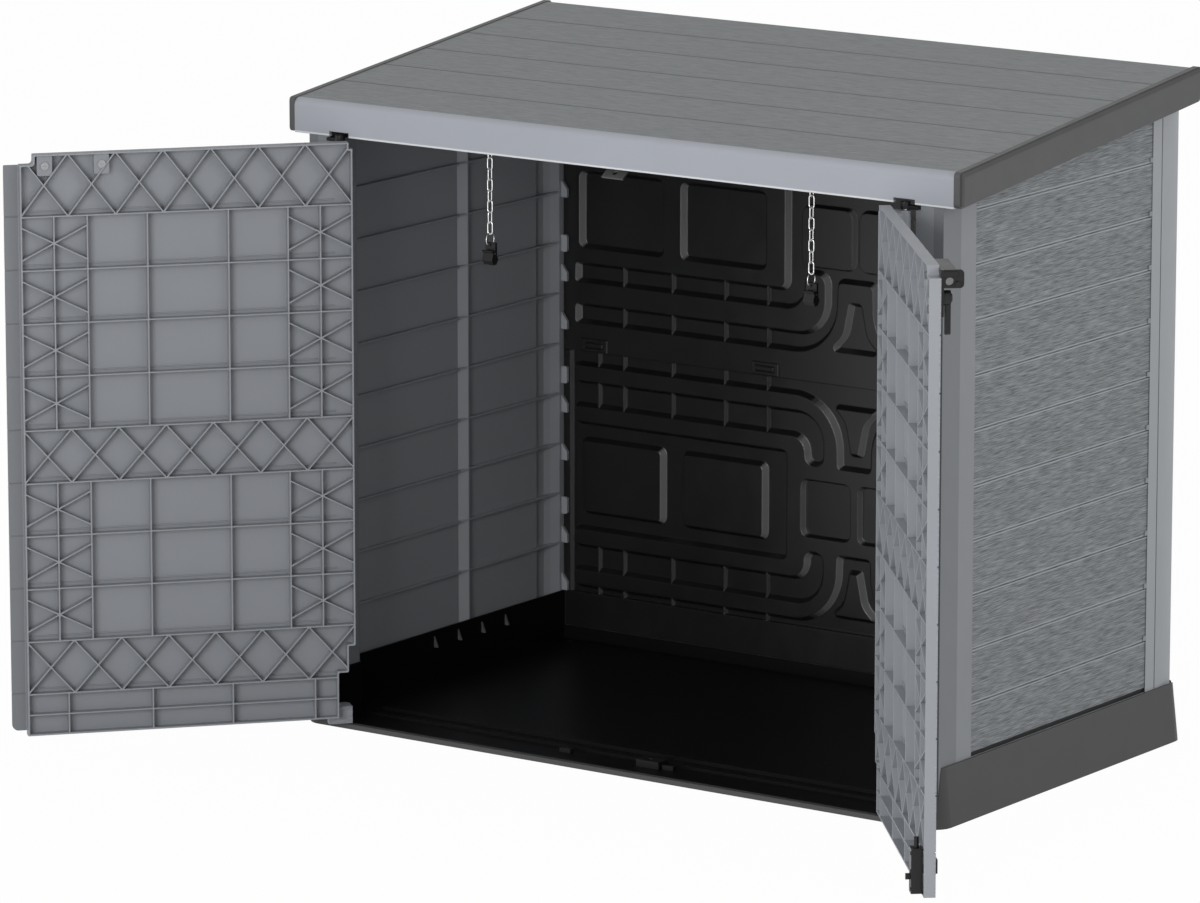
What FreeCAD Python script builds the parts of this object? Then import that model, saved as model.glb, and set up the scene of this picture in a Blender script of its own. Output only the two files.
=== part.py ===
import FreeCAD, Part
import math
import os
import re

from FreeCAD import Placement, Rotation, Vector

doc = FreeCAD.newDocument("bin_store")
sheet = doc.addObject("Spreadsheet::Sheet", "dim")

# Driving dimensions in millimetres and degrees. X runs along the front, +Y to the back, +Z up.
# The origin is the centre of the base's underside.
SIZES = {
    # store
    "store_width": 1374,
    "store_depth": 804,
    "front_height": 1105.5,
    "fit_gap": 0.5,
    "running_gap": 0.05,
    # side panels
    "panel_thick": 18,
    "panel_skin": 12,
    "panel_top_gap": 6,
    "plank_pitch": 98.1,
    "first_groove_drop": 19.1,
    "groove_width": 3,
    "groove_depth": 2,
    "plank_margin": 106,
    "plank_recess": 2,
    "wall_rib": 4,
    "foot_gap_height": 8,
    "foot_gap_depth": 3,
    "strip_tab": 9,
    "strip_tab_lift": 6,
    "band_edge_y": 61,
    "band_slope": 25,
    "corner_groove_inset": 111,
    "corner_groove": 28,
    "corner_groove_depth": 4,
    "corner_edge_inset": 44,
    "strip_line_inset": 74,
    "rear_round_depth": 72,
    "rear_round_radius": 240,
    "post_width": 57,
    "post_depth": 66,
    "post_wall": 4,
    "post_cap": 14,
    "post_top_gap": 1.5,
    "lug_reach": 13,
    "lug_thick": 7,
    "lug_height": 33,
    "lug_group": 257,
    "lug_second": 94,
    "lug_third": 151,
    "lug_slant": 17,
    "lug_round": 4,
    "lug_margin": 9,
    # base
    "base_height": 108,
    "base_lip": 4,
    "base_flare": 11,
    "base_corner": 25,
    "seat_level": 40,
    "floor_level": 14,
    "floor_rise": 6,
    "floor_border": 62,
    "sill_level": 9,
    "socket_floor": 1,
    "kerb_wall": 3.5,
    "gusset_height": 26,
    "gusset_reach": 9,
    "gusset_width": 4,
    "gusset_pitch": 76,
    "gusset_drop": 6,
    "anchor_inset": 28,
    "anchor_front": 150,
    "anchor_rear": 21,
    "anchor_bore": 9,
    # back panels
    "back_thick": 24,
    "back_setback": 6,
    "back_lip": 6,
    "back_lip_height": 30,
    "seam_z": 582,
    "seam_gap": 1,
    "relief_depth": 12,
    "relief_slope": 8,
    "relief_corner": 9,
    "square_corner": 16,
    "square_height": 152,
    "square_width": 197,
    "square_gap": 38,
    "square_edge": 37,
    "upper_square_rise": 202,
    "lower_square_drop": 167,
    "small_square": 112,
    "small_square_gap": 8,
    "middle_top_gap": 40,
    "bar_edge": 28,
    "bar_pitch": 80,
    "sunk_bar": 40,
    "sunk_border": 27,
    "sunk_frame": 159,
    "sunk_ridge": 31,
    "sunk_arch": 21,
    "sunk_bend": 45,
    "raised_bar": 28,
    "raised_border": 39,
    "raised_frame": 151,
    "raised_ridge": 25,
    "raised_arch": 25,
    "raised_bend": 30,
    "frame_corner": 13,
    "ridge_outer": 112,
    "ridge_inner": 68,
    "ridge_round": 20,
    "hook_radius": 62,
    "hook_outer_radius": 98,
    "arch_half": 42,
    "arch_taper": 4,
    "arch_corner": 10,
    "horn_width": 122,
    "horn_waist": 54,
    "horn_tip": 28,
    "horn_foot_gap": 138,
    "horn_tip_gap": 40.5,
    "horn_flare": 34,
    "horn_bend": 40,
    "tick_width": 2.5,
    "tick_first": 198,
    "tick_second": 296,
    "tick_third": 417,
    "tick_fourth": 529.5,
    "tick_last": 588,
    "tick_depth": 1,
    "pocket_depth": 8,
    "pocket_rib": 5,
    "pocket_columns": 6,
    "pocket_rows": 3,
    "panel_border": 16,
    "latch_length": 61,
    "latch_height": 24,
    "latch_lift": 3,
    "latch_slit": 2.5,
    "latch_tongue": 10,
    "latch_margin": 8,
    "latch_thick": 4,
    "latch_inner": 201,
    "latch_outer": 596,
    # lid
    "lid_overhang": 26,
    "lid_front_overhang": 10,
    "lid_rear_setback": 7,
    "fascia_height": 62.5,
    "fascia_wall": 8,
    "fascia_edge": 1.5,
    "roof_slope": 6,
    "roof_thick": 8,
    "roof_round": 14,
    "roof_planks": 6,
    "skirt_wall": 6,
    "skirt_setback": 2,
    "roof_rib_depth": 24,
    "roof_rib_width": 4,
    "roof_rib_pitch": 256,
    "cap_thick": 12,
    "cap_rise": 1.5,
    "cap_corner": 8,
    "cap_bead": 2,
    "cap_bead_width": 9,
    "cap_bead_inset": 4,
    "notch_width": 44,
    "notch_height": 9,
    "staple_width": 46,
    "staple_offset": 12,
    "staple_thick": 3,
    "staple_inset": 32,
    "staple_knee_drop": 2.5,
    "staple_reach": 22,
    "staple_drop": 15,
    "staple_bore": 10,
    # lid hinge
    "lid_axis_inset": 5,
    "lid_axis_drop": 60.8,
    "lid_knuckle_radius": 8,
    "lid_knuckle_length": 30,
    "lid_knuckle_swing": 1.5,
    "lid_pin_radius": 3,
    "lid_hinge_spread": 450,
    "bracket_plate": 4,
    # doors
    "pivot_inset": 18,
    "pivot_reach": 6,
    "door_open": 131,
    "door_setback": 25,
    "door_thick": 20,
    "door_skin": 4,
    "door_rim": 3,
    "door_rib": 2.6,
    "door_sill_gap": 19,
    "door_top_gap": 3.5,
    "door_edge": 13,
    "door_head_step": 7,
    "door_head": 12,
    "meeting_gap": 14,
    "cover_strip": 27,
    "strip_lift": 8,
    "strip_corner": 12,
    "corner_drop": 18,
    "corner_width": 25,
    "star_width": 120,
    "free_star_width": 122,
    "star_step": 18,
    "middle_cell": 149,
    "end_cell": 76,
    "diamonds": 7,
    "door_bead": 2,
    "door_bead_depth": 1.5,
    "door_bead_lift": 8,
    "strip_mark": 2,
    "strip_mark_depth": 1,
    "kerb_gap": 6,
    "kerb_step": 50,
    "kerb_clear_low": 32,
    "kerb_clear_high": 13,
    "boss_width": 28,
    "boss_height": 37,
    # door hangings
    "arm_radius": 10,
    "arm_height": 32,
    "arm_length": 34,
    "arm_drop": 15,
    "arm_top_gap": 8,
    "arm_cap": 4,
    "pin_radius": 4,
    "pin_lift": 2,
    "collar_radius": 6,
    "collar_gap": 0.3,
    "top_plate": 6,
    "top_plate_sunk": 1,
    "top_plate_reach": 10,
    "top_plate_tail": 46,
    "top_boss_rise": 6,
    # lock set
    "screw_radius": 3,
    "screw_head_radius": 7,
    "screw_head": 3,
    "screw_slot": 1.6,
    "screw_drop": 21,
    "hasp_plate": 5,
    "hasp_length": 136,
    "hasp_height": 31,
    "hasp_end_gap": 30,
    "hasp_screw_inset": 16,
    "hasp_screw_pitch": 104,
    "hook_reach": 12,
    "hook_height": 36,
    "hook_gap": 3,
    "hook_shelf": 10,
    "lock_plate": 5,
    "lock_length": 58,
    "lock_height": 79,
    "lock_end_gap": 4,
    "lock_top_gap": 5,
    "lock_wing": 8,
    "lock_wing_reach": 29,
    "lock_wing_length": 122,
    "lock_wing_drop": 3,
    "lock_screw_inset": 46,
    "lock_screw_spread": 28,
    "lock_screw_pitch": 52,
    "eye_thick": 8,
    "eye_reach": 39,
    "eye_height": 31,
    "eye_corner": 7,
    "padlock_bore": 14,
    "padlock_inset": 24,
    "padlock_drop": 20,
    "knob_radius": 4.5,
    "knob_height": 5,
    "knob_inset": 11,
    "knob_drop": 24,
    "stud_inset": 18,
    "stud_drop": 54,
    "stud_head": 2.4,
    "lever_boss_radius": 13,
    "lever_length": 62,
    "lever_width": 14,
    "lever_reach": 18,
    "lever_thick": 9,
    "lever_gap": 0.3,
    # drop bolt
    "bolt_radius": 4.5,
    "bolt_length": 96,
    "bolt_travel": 15,
    "bolt_inset": 24,
    "bolt_lift": 4,
    "housing_width": 24,
    "housing_depth": 20,
    "housing_height": 78,
    "thumb_width": 5,
    "thumb_height": 10,
    "thumb_level": 23,
    "thumb_reach": 8,
    "bolt_screw_radius": 1.6,
    "bolt_screw_head": 3,
    "bolt_screw_inset": 3.4,
    "bolt_screw_margin": 8,
    "bolt_screw_pitch": 31,
    "tab_width": 22,
    "tab_height": 24,
    "tab_level": 34,
    "keeper_left": 20,
    "keeper_right": 29,
    "keeper_depth": 30,
    "keeper_height": 13,
    "keeper_clear": 1.5,
    "stop_width": 24,
    "stop_depth": 10,
    "stop_height": 8,
    "stop_gap": 1,
    "stop_left_x": 144,
    "stop_right_x": 83,
    # chains and clips
    "chain_x": 350,
    "chain_setback": 97,
    "chain_link_pairs": 5,
    "link_wire": 2.8,
    "link_inner": 20,
    "link_width": 13,
    "link_gap": 0.2,
    "eye_radius": 8,
    "eye_stem": 18,
    "eye_plate": 26,
    "eye_plate_thick": 3,
    "ring_radius": 12,
    "ring_wire": 2,
    "clip_length": 42,
    "clip_width": 22,
    "clip_plate": 6,
    "clip_crown": 3,
    "clip_pin_radius": 2,
    "clip_ear_radius": 5,
    "clip_pin_drop": 20,
    "clip_swell": 4,
    "clip_lip": 3,
    "clip_heel": 6,
}

for row, (alias, number) in enumerate(SIZES.items(), 1):
    sheet.set(f"A{row}", alias)
    sheet.set(f"B{row}", str(number))
    sheet.setAlias(f"B{row}", alias)
doc.recompute()

WORD = re.compile(r"[a-z][a-z_]+")
SIDES = {"left": -1, "right": 1}
NODES = []


def bind(formula):
    """Point each size named in a formula at its cell."""
    return WORD.sub(lambda found: f"dim.{found[0]}" if found[0] in SIZES else found[0], str(formula))


def value(formula):
    """The number that a formula of sizes gives."""
    return float(sheet.evalExpression(bind(formula)))


# Places that several pieces share, as formulas of the driving dimensions
WALL = "(store_width/2)"
WALL_IN = f"({WALL} - panel_thick)"
FRONT = "(-store_depth/2)"
REAR = "(store_depth/2)"
POST_IN = f"({WALL} - post_width)"
POST_BACK = f"({FRONT} + post_depth)"
POST_TOP = "(front_height - post_top_gap)"
FIRST_GROOVE = "(front_height - first_groove_drop)"
BACK_REAR = f"({REAR} - back_setback)"
BACK_FRONT = f"({BACK_REAR} - back_thick)"
LEDGE = f"({BACK_FRONT} - kerb_wall - fit_gap)"
KERB_IN = f"({WALL_IN} - fit_gap - kerb_wall)"
FOOT_IN = f"({POST_IN} - fit_gap - kerb_wall)"
LID_X = f"({WALL} + lid_overhang)"
LID_FRONT = f"({FRONT} - lid_front_overhang)"
LID_REAR = f"({REAR} - lid_rear_setback)"
ROOF_FRONT = "(front_height + fascia_height)"
SLOPE = "tan(roof_slope*1deg)"
LID_AXIS_Y = f"({LID_REAR} - lid_axis_inset)"
LID_AXIS_Z = f"({ROOF_FRONT} + ({LID_REAR} - {LID_FRONT})*{SLOPE} - lid_axis_drop)"
BACK_TOP = f"({LID_AXIS_Z} - lid_knuckle_radius - bracket_plate)"
PIVOT_X = f"({POST_IN} - pivot_inset)"
PIVOT_Y = f"({FRONT} - pivot_reach)"
DOOR_OUT = f"({PIVOT_Y} + door_setback)"
DOOR_IN = f"({DOOR_OUT} + door_thick)"
DOOR_TOP = "(front_height - door_top_gap)"
DOOR_LOW = "(sill_level + door_sill_gap)"
DOOR_REACH = f"({PIVOT_X} - meeting_gap)"
ARM_TOP = f"({DOOR_TOP} - arm_top_gap)"
ARM_LOW = f"({DOOR_LOW} - arm_drop)"
PLATE_LOW = f"({POST_TOP} - top_plate - top_plate_sunk)"
BOLT_X = f"({PIVOT_X} - {DOOR_REACH} + bolt_inset)"
BOLT_Y = f"({DOOR_IN} + housing_depth/2)"
BOLT_LOW = f"({DOOR_LOW} + bolt_lift)"
STUD_X = f"({PIVOT_X} - {DOOR_REACH} + stud_inset)"
STUD_Z = f"({DOOR_TOP} - stud_drop)"
CHAIN_Y = f"({FRONT} + chain_setback)"


def roof_top(y):
    return value(f"{ROOF_FRONT} + ({y} - {LID_FRONT})*{SLOPE}")


def roof_under(y):
    return roof_top(y) - value("roof_thick/cos(roof_slope*1deg)")


def groove_levels(low, high):
    """Heights of the lines between planks that fall inside a stretch of wall."""
    levels = []
    level = value(FIRST_GROOVE)
    while level > low:
        if level < high:
            levels.append(level)
        level -= value("plank_pitch")
    return levels


def node(thing, label):
    """Keep a finished piece under the name of its file."""
    thing.Label = label
    NODES.append(thing)
    return thing


def block(name, x, y, z):
    """A box whose two ends along each axis are formulas of sizes."""
    box = doc.addObject("Part::Box", name)
    for side, axis, (low, high) in zip(("Length", "Width", "Height"), "xyz", (x, y, z)):
        box.setExpression(side, bind(f"({high}) - ({low})"))
        box.setExpression(f"Placement.Base.{axis}", bind(low))
    return box


def centred(middle, width):
    """The two ends of a stretch about its middle."""
    return (f"{middle} - ({width})/2", f"{middle} + ({width})/2")


def mirrored(side, low, high):
    """A stretch of X on the right, or its mirror image on the left."""
    return (low, high) if side > 0 else (f"-({high})", f"-({low})")


def rod(name, radius, length, start, axis="z"):
    """A round bar from a start point along an axis; every size is a formula."""
    turns = {"x": Rotation(Vector(0, 1, 0), 90), "y": Rotation(Vector(1, 0, 0), -90), "z": Rotation()}
    bar = doc.addObject("Part::Cylinder", name)
    bar.Placement = Placement(Vector(), turns[axis])
    bar.setExpression("Radius", bind(radius))
    bar.setExpression("Height", bind(length))
    for letter, place in zip("xyz", start):
        bar.setExpression(f"Placement.Base.{letter}", bind(place))
    return bar


def fuse(name, *pieces):
    joined = doc.addObject("Part::MultiFuse", name)
    joined.Shapes = list(pieces)
    return joined


def cut(name, body, *tools):
    result = doc.addObject("Part::Cut", name)
    result.Base = body
    result.Tool = tools[0] if len(tools) == 1 else fuse(f"{name}_tools", *tools)
    return result


def group(name, *pieces):
    """Several like solids kept in one piece of the list."""
    bundle = doc.addObject("Part::Compound", name)
    bundle.Links = list(pieces)
    return bundle


def feature(name, shape):
    thing = doc.addObject("Part::Feature", name)
    thing.Shape = shape
    return thing


def rounded(points):
    """Edges of a closed outline; a point's third number is the radius of its corner."""
    corners = [(Vector(p[0], p[1], 0), p[2] if len(p) > 2 else 0) for p in points]
    ends = []
    arcs = []
    for i, (corner, radius) in enumerate(corners):
        back = (corners[i - 1][0] - corner).normalize()
        ahead = (corners[(i + 1) % len(corners)][0] - corner).normalize()
        half = back.getAngle(ahead) / 2
        if radius == 0:
            ends.append((corner, corner))
            arcs.append(None)
            continue
        run = radius / math.tan(half)
        middle = corner + (back + ahead).normalize() * (radius / math.sin(half))
        peak = middle + (corner - middle).normalize() * radius
        ends.append((corner + back * run, corner + ahead * run))
        arcs.append(Part.Arc(ends[-1][0], peak, ends[-1][1]))
    edges = []
    for i, arc in enumerate(arcs):
        if arc:
            edges.append(arc)
        here = ends[i][1]
        following = ends[(i + 1) % len(ends)][0]
        if here.distanceToPoint(following) > 1e-6:
            edges.append(Part.LineSegment(here, following))
    return edges


def wire(points):
    return Part.Wire([edge.toShape() for edge in rounded(points)])


def anticlockwise(points):
    """The same outline, listed anticlockwise."""
    turn = sum(points[i - 1][0] * p[1] - p[0] * points[i - 1][1] for i, p in enumerate(points))
    return points if turn > 0 else points[::-1]


def inset(points, distance):
    """An outline drawn in by the same distance all round, with its round corners kept parallel."""
    points = anticlockwise(points)
    lines = []
    for i, start in enumerate(points):
        finish = points[(i + 1) % len(points)]
        dx = finish[0] - start[0]
        dy = finish[1] - start[1]
        length = math.hypot(dx, dy)
        lines.append((start[0] - dy / length * distance, start[1] + dx / length * distance, dx, dy))
    result = []
    for i, (x1, y1, dx1, dy1) in enumerate(lines):
        x0, y0, dx0, dy0 = lines[i - 1]
        bend = dx0 * dy1 - dy0 * dx1
        share = ((x1 - x0) * dy1 - (y1 - y0) * dx1) / bend
        place = (x0 + share * dx0, y0 + share * dy0)
        if len(points[i]) > 2:
            place += (points[i][2] + (-distance if bend > 0 else distance),)
        result.append(place)
    return result


def rectangle(x0, x1, z0, z1, radius):
    return [(x0, z0, radius), (x1, z0, radius), (x1, z1, radius), (x0, z1, radius)]


def prism(points, width):
    """An outline in X and Z, as wide as given and centred on Y."""
    face = Part.Face(wire(points))
    face.rotate(Vector(), Vector(1, 0, 0), 90)
    face.translate(Vector(0, width / 2, 0))
    return face.extrude(Vector(0, -width, 0))


def body(name, plane, points, length, middle=False, back=False):
    """A sketched outline on an origin plane, padded by a formula of sizes."""
    part = doc.addObject("PartDesign::Body", name)
    face = next(item for item in part.Origin.OriginFeatures if item.Role == plane)
    sketch = part.newObject("Sketcher::SketchObject", f"{name}_outline")
    sketch.AttachmentSupport = (face, [""])
    sketch.MapMode = "FlatFace"
    sketch.addGeometry(rounded(points))
    pad = part.newObject("PartDesign::Pad", f"{name}_pad")
    pad.Profile = sketch
    pad.setExpression("Length", bind(length))
    pad.Midplane = middle
    pad.Reversed = back
    return part


def base_tray():
    """Moulded tray: flared skirt, kerbs with slots for the walls, front feet and a low sill."""
    rings = []
    for grow, level in ((value("base_flare"), 0), (0, value("base_height"))):
        x = value(f"{WALL} + base_lip") + grow
        y = value(f"{REAR} + base_lip") + grow
        ring = wire(rectangle(-x, x, -y, y, value("base_corner") + grow))
        ring.translate(Vector(0, 0, level))
        rings.append(ring)
    skirt = feature("base_skirt", Part.makeLoft(rings, True, True))
    above = "base_height + 1"
    tools = [
        block("base_inside", (f"-{KERB_IN}", KERB_IN), (POST_BACK, LEDGE), ("floor_level", above)),
        block("base_mouth", (f"-{FOOT_IN}", FOOT_IN),
              (f"{FRONT} - base_lip - base_flare", f"{POST_BACK} + kerb_wall"), ("sill_level", above)),
        block("base_back_slot", (f"-{WALL_IN} - fit_gap", f"{WALL_IN} + fit_gap"),
              (f"{BACK_FRONT} - fit_gap", f"{BACK_REAR} + fit_gap"), ("seat_level", above)),
        block("base_ledge_top", (f"-{KERB_IN}", KERB_IN), (f"{LEDGE} - 1", BACK_FRONT),
              ("seat_level", above)),
    ]
    for name, side in SIDES.items():
        tools.append(block(f"base_{name}_slot", mirrored(side, f"{WALL_IN} - fit_gap", f"{WALL} + fit_gap"),
                           (POST_BACK, f"{REAR} + fit_gap"), ("seat_level", above)))
        tools.append(block(f"base_{name}_socket", mirrored(side, f"{POST_IN} - fit_gap", f"{WALL} + fit_gap"),
                           (f"{FRONT} - fit_gap", f"{POST_BACK} + fit_gap"), ("seat_level", above)))
        tools.append(rod(f"base_{name}_pivot_hole", "pin_radius + running_gap", "sill_level",
                         (f"{side}*{PIVOT_X}", PIVOT_Y, "socket_floor")))
        for place, y in (("front", f"{POST_BACK} + anchor_front"), ("rear", f"{LEDGE} - anchor_rear")):
            tools.append(rod(f"base_{name}_{place}_anchor", "anchor_bore/2", "floor_level + 2",
                             (f"{side}*({KERB_IN} - anchor_inset)", y, "-1")))
    shell = cut("base_shell", skirt, *tools)
    tread = block("base_tread", (f"-{KERB_IN} + floor_border", f"{KERB_IN} - floor_border"),
                  (f"{POST_BACK} + floor_border/2", f"{LEDGE} - floor_border/2"),
                  ("floor_level - 1", "floor_level + floor_rise"))
    gussets = [base_gusset(name, side, count) for name, side in SIDES.items() for count in range(4)]
    node(fuse("base_tray", shell, tread, *gussets), "base_tray")


def base_gusset(name, side, count):
    """A small wedge that stiffens a kerb on its inside."""
    root = side * value(f"{KERB_IN} + kerb_wall/2")
    tip = side * value(f"{KERB_IN} - gusset_reach")
    top = value("base_height - gusset_drop")
    low = top - value("gusset_height")
    y = value("gusset_pitch") * (count - 0.75)
    corners = [Vector(root, y, top), Vector(tip, y, low), Vector(root, y, low), Vector(root, y, top)]
    wedge = Part.Face(Part.makePolygon(corners)).extrude(Vector(0, value("gusset_width"), 0))
    return feature(f"base_{name}_gusset_{count}", wedge)


def side_panel(name, side):
    """One moulding: plank-faced wall ribbed inside, box post in front, lugs for the back panel."""
    front = value(FRONT)
    rear = value(REAR)
    seat = value("seat_level")
    step = value(f"{BACK_FRONT} + back_lip")
    post_back = value(POST_BACK)
    drop = value("roof_rib_depth + panel_top_gap")
    outline = [
        (front, seat), (rear, seat), (rear, value(BACK_TOP)), (step, value(BACK_TOP)),
        (step, roof_under(step) - drop), (post_back, roof_under(post_back) - drop),
        (post_back, value(POST_TOP)), (front, value(POST_TOP))]
    wall = body(f"{name}_wall", "YZ_Plane", outline, "panel_thick", back=side < 0)
    wall.setExpression("Placement.Base.x", bind(f"{side}*{WALL_IN}"))
    post = block(f"{name}_post", mirrored(side, POST_IN, WALL), (FRONT, POST_BACK),
                 ("seat_level", POST_TOP))
    field = (f"{FRONT} + plank_margin", f"{REAR} - plank_margin")
    tools = [
        block(f"{name}_post_hollow", mirrored(side, f"{POST_IN} + post_wall", f"{WALL} - post_wall"),
              (f"{FRONT} + post_wall", f"{POST_BACK} - post_wall"),
              ("seat_level - 1", f"{POST_TOP} - post_cap")),
        block(f"{name}_plank_field", mirrored(side, f"{WALL} - plank_recess", f"{WALL} + 1"), field,
              ("seat_level - 1", f"{BACK_TOP} + store_depth")),
        block(f"{name}_bracket_seat", mirrored(side, f"{POST_IN} - 1", f"{POST_IN} + top_plate_reach"),
              (f"{FRONT} - 1", f"{FRONT} + top_plate_tail"), (PLATE_LOW, f"{POST_TOP} + 1")),
    ]
    levels = groove_levels(value("base_height"), value(BACK_TOP))
    for count in range(len(levels)):
        middle = f"{FIRST_GROOVE} - {count}*plank_pitch"
        tools.append(block(f"{name}_groove_{count}",
                           mirrored(side, f"{WALL} - plank_recess - groove_depth", f"{WALL} + 1"),
                           field, centred(middle, "groove_width")))
    tools.append(block(f"{name}_foot_gap",
                       mirrored(side, f"{WALL} - plank_recess - foot_gap_depth", f"{WALL} + 1"),
                       field, ("base_height", "base_height + foot_gap_height")))
    tools.append(block(f"{name}_strip_line", mirrored(side, f"{WALL} - groove_depth", f"{WALL} + 1"),
                       centred(f"({REAR} - strip_line_inset)", "groove_width"),
                       ("seat_level - 1", f"{BACK_TOP} + 1")))
    tools.append(rear_rounding(name, side))
    tools += wall_cells(name, side, levels)
    shell = cut(f"{name}_shell", fuse(f"{name}_wall_and_post", wall, post), *tools)
    tabs = strip_tabs(name, side, len(levels))
    node(fuse(f"{name}_side_panel", shell, *wall_lugs(name, side), *tabs), f"{name}_side_panel")


def strip_tabs(name, side, count):
    """Small raised tabs that lap from the rear strip over each plank line."""
    strip = f"({REAR} - plank_margin)"
    tabs = []
    for index in range(count):
        middle = f"({FIRST_GROOVE} - {index}*plank_pitch + strip_tab_lift)"
        tabs.append(block(f"{name}_strip_tab_{index}",
                          mirrored(side, f"{WALL} - plank_recess - groove_depth", WALL),
                          (f"{strip} - strip_tab", f"{strip} + 1"), centred(middle, "strip_tab")))
    return tabs


def wall_cells(name, side, levels):
    """The shallow cells between a side panel's ribs, in two bays that each end in a slope."""
    inner = value(WALL_IN)
    mouth = inner - 1
    floor = value(f"{WALL} - panel_skin")
    groove = floor + value("corner_groove_depth")
    front = value(f"{POST_BACK} + 2*wall_rib")
    edge = value("band_edge_y")
    slope = edge - value("band_slope")
    second = edge + value("wall_rib")
    corner = value(f"{REAR} - corner_groove_inset")
    rise = corner + value("corner_groove")
    end = value(f"{REAR} - corner_edge_inset")
    half_rib = value("wall_rib") / 2
    bays = [
        [(mouth, front), (floor, front), (floor, slope), (inner, edge), (mouth, edge)],
        [(mouth, second), (floor, second), (floor, corner), (groove, corner), (groove, rise), (inner, end),
         (mouth, end)],
    ]
    rows = [value("seat_level + 2*wall_rib")] + levels[::-1] + [levels[0] + value("plank_pitch/2") + half_rib]
    cells = []
    for low, high in zip(rows, rows[1:]):
        for points in bays if high <= levels[0] else bays[1:]:
            face = Part.Face(wire([(side * x, y) for x, y in points]))
            face.translate(Vector(0, 0, low + half_rib))
            cell = face.extrude(Vector(0, 0, high - low - 2 * half_rib))
            cells.append(feature(f"{name}_cell_{len(cells)}", cell))
    return cells


def rear_rounding(name, side):
    """What is cut away where the wall's outside curves in towards its rear edge."""
    start = value(f"{REAR} - rear_round_depth")
    radius = value("rear_round_radius")
    height = value(f"{BACK_TOP} + store_depth")
    wall = value(WALL)
    depth = value("rear_round_depth + 1")
    corner = Part.makeBox(2 * wall, depth, height, Vector(0 if side > 0 else -2 * wall, start, 0))
    barrel = Part.makeCylinder(radius, height, Vector(side * (wall - radius), start, 0))
    core = Part.makeBox(2 * (wall - radius), depth, height, Vector(radius - wall, start, 0))
    return feature(f"{name}_rear_rounding", corner.cut(barrel).cut(core))


def wall_lugs(name, side):
    """Lugs behind which the back panels slide in: two wedges and a block, over and over."""
    root = side * value(f"{WALL_IN} + panel_skin")
    face = side * value(WALL_IN)
    tip = side * value(f"{WALL_IN} - lug_reach")
    height = value("lug_height")
    slant = value("lug_slant")
    round_off = value("lug_round")
    group_height = value("lug_group")
    top = value(f"{BACK_TOP} - lug_margin")
    middle = value(f"{BACK_FRONT} - fit_gap - lug_thick/2")
    first = value("base_height + 1")
    lugs = []
    for count in range(int((top - first) / group_height) + 1):
        for rise, wedge in ((0, True), (value("lug_second"), True), (value("lug_third"), False)):
            low = first + count * group_height + rise
            high = low + height
            if high > top:
                break
            if wedge:
                points = [(root, low), (tip, low), (tip, high - slant), (face, high), (root, high)]
            else:
                points = [(root, low), (tip, low, round_off), (tip, high, round_off), (root, high)]
            lug = prism(points, value("lug_thick"))
            lug.translate(Vector(0, middle, 0))
            lugs.append(feature(f"{name}_lug_{len(lugs)}", lug))
    return lugs


def relief(points, slope, depth="relief_depth", start=BACK_FRONT):
    """A pressed form with sloping walls at the front of a back panel; points are X and Z."""
    mouth = wire(anticlockwise(points))
    floor = wire(inset(points, slope))
    floor.translate(Vector(0, 0, -value(depth)))
    form = Part.makeLoft([mouth, floor], True, True)
    form.rotate(Vector(), Vector(1, 0, 0), 90)
    form.translate(Vector(0, value(start), 0))
    return form


def squares(low):
    """Outlines of the two large squares left of the middle, from the height of their lower edge."""
    width = value("square_width")
    left = -value(f"{WALL_IN} - square_edge")
    starts = [left + index * (width + value("square_gap")) for index in range(2)]
    high = low + value("square_height")
    return [rectangle(x, x + width, low, high, value("square_corner")) for x in starts]


def small_square(low):
    """Outline of the small square beside the middle, level with the large ones."""
    size = value("small_square")
    gap = value("small_square_gap")
    foot = low + (value("square_height") - size) / 2
    return rectangle(-size - gap, -gap, foot, foot + size, value("square_corner"))


def bent_bars(kind, edge_z, way):
    """Left half of the figure at one edge of the squares; way leads to them, kind is sunk or raised.

    A bar runs to the frame beside the squares, a second one turns in round a hooked ridge, and an
    arch stands between the two halves.
    """
    left = -value(f"{WALL_IN} - bar_edge")
    bar = way * value(f"{kind}_bar")
    near = edge_z - way * value(f"{kind}_border")
    second = near - way * value("bar_pitch")
    ridge_end = near + way * value(f"{kind}_ridge")
    arch_end = near + way * value(f"{kind}_arch")
    outer = -value("ridge_outer")
    inner = -value("ridge_inner")
    arch = -value("arch_half")
    corner = value("relief_corner")
    ridge_round = value("ridge_round")
    return [
        (-value(f"{kind}_frame"), near, value("frame_corner")),
        (left, near, corner),
        (left, near - bar, corner),
        (outer, near - bar, value(f"{kind}_bend")),
        (outer, ridge_end, ridge_round),
        (inner, ridge_end, ridge_round),
        (inner, second, value("hook_radius")),
        (left, second, corner),
        (left, second - bar, corner),
        (arch, second - bar, value("hook_outer_radius")),
        (arch + value("arch_taper"), arch_end, value("arch_corner")),
    ]


def horn(edge_z, way):
    """Outline of the horn inside an arch; edge_z is the squares' near edge, way leads to it."""
    foot = edge_z - way * value("horn_foot_gap")
    tip = edge_z - way * value("horn_tip_gap")
    corner = value("relief_corner")
    return both_halves([
        (-value("horn_width") / 2, foot, corner),
        (-value("horn_waist") / 2, foot + way * value("horn_flare"), value("horn_bend")),
        (-value("horn_tip") / 2, tip, corner),
    ])


def mirror(points):
    return [(-p[0],) + tuple(p[1:]) for p in points]


def both_halves(points):
    """A closed outline from its left half."""
    return points + mirror(points)[::-1]


def both_sides(outlines):
    return outlines + [mirror(points) for points in outlines]


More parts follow.
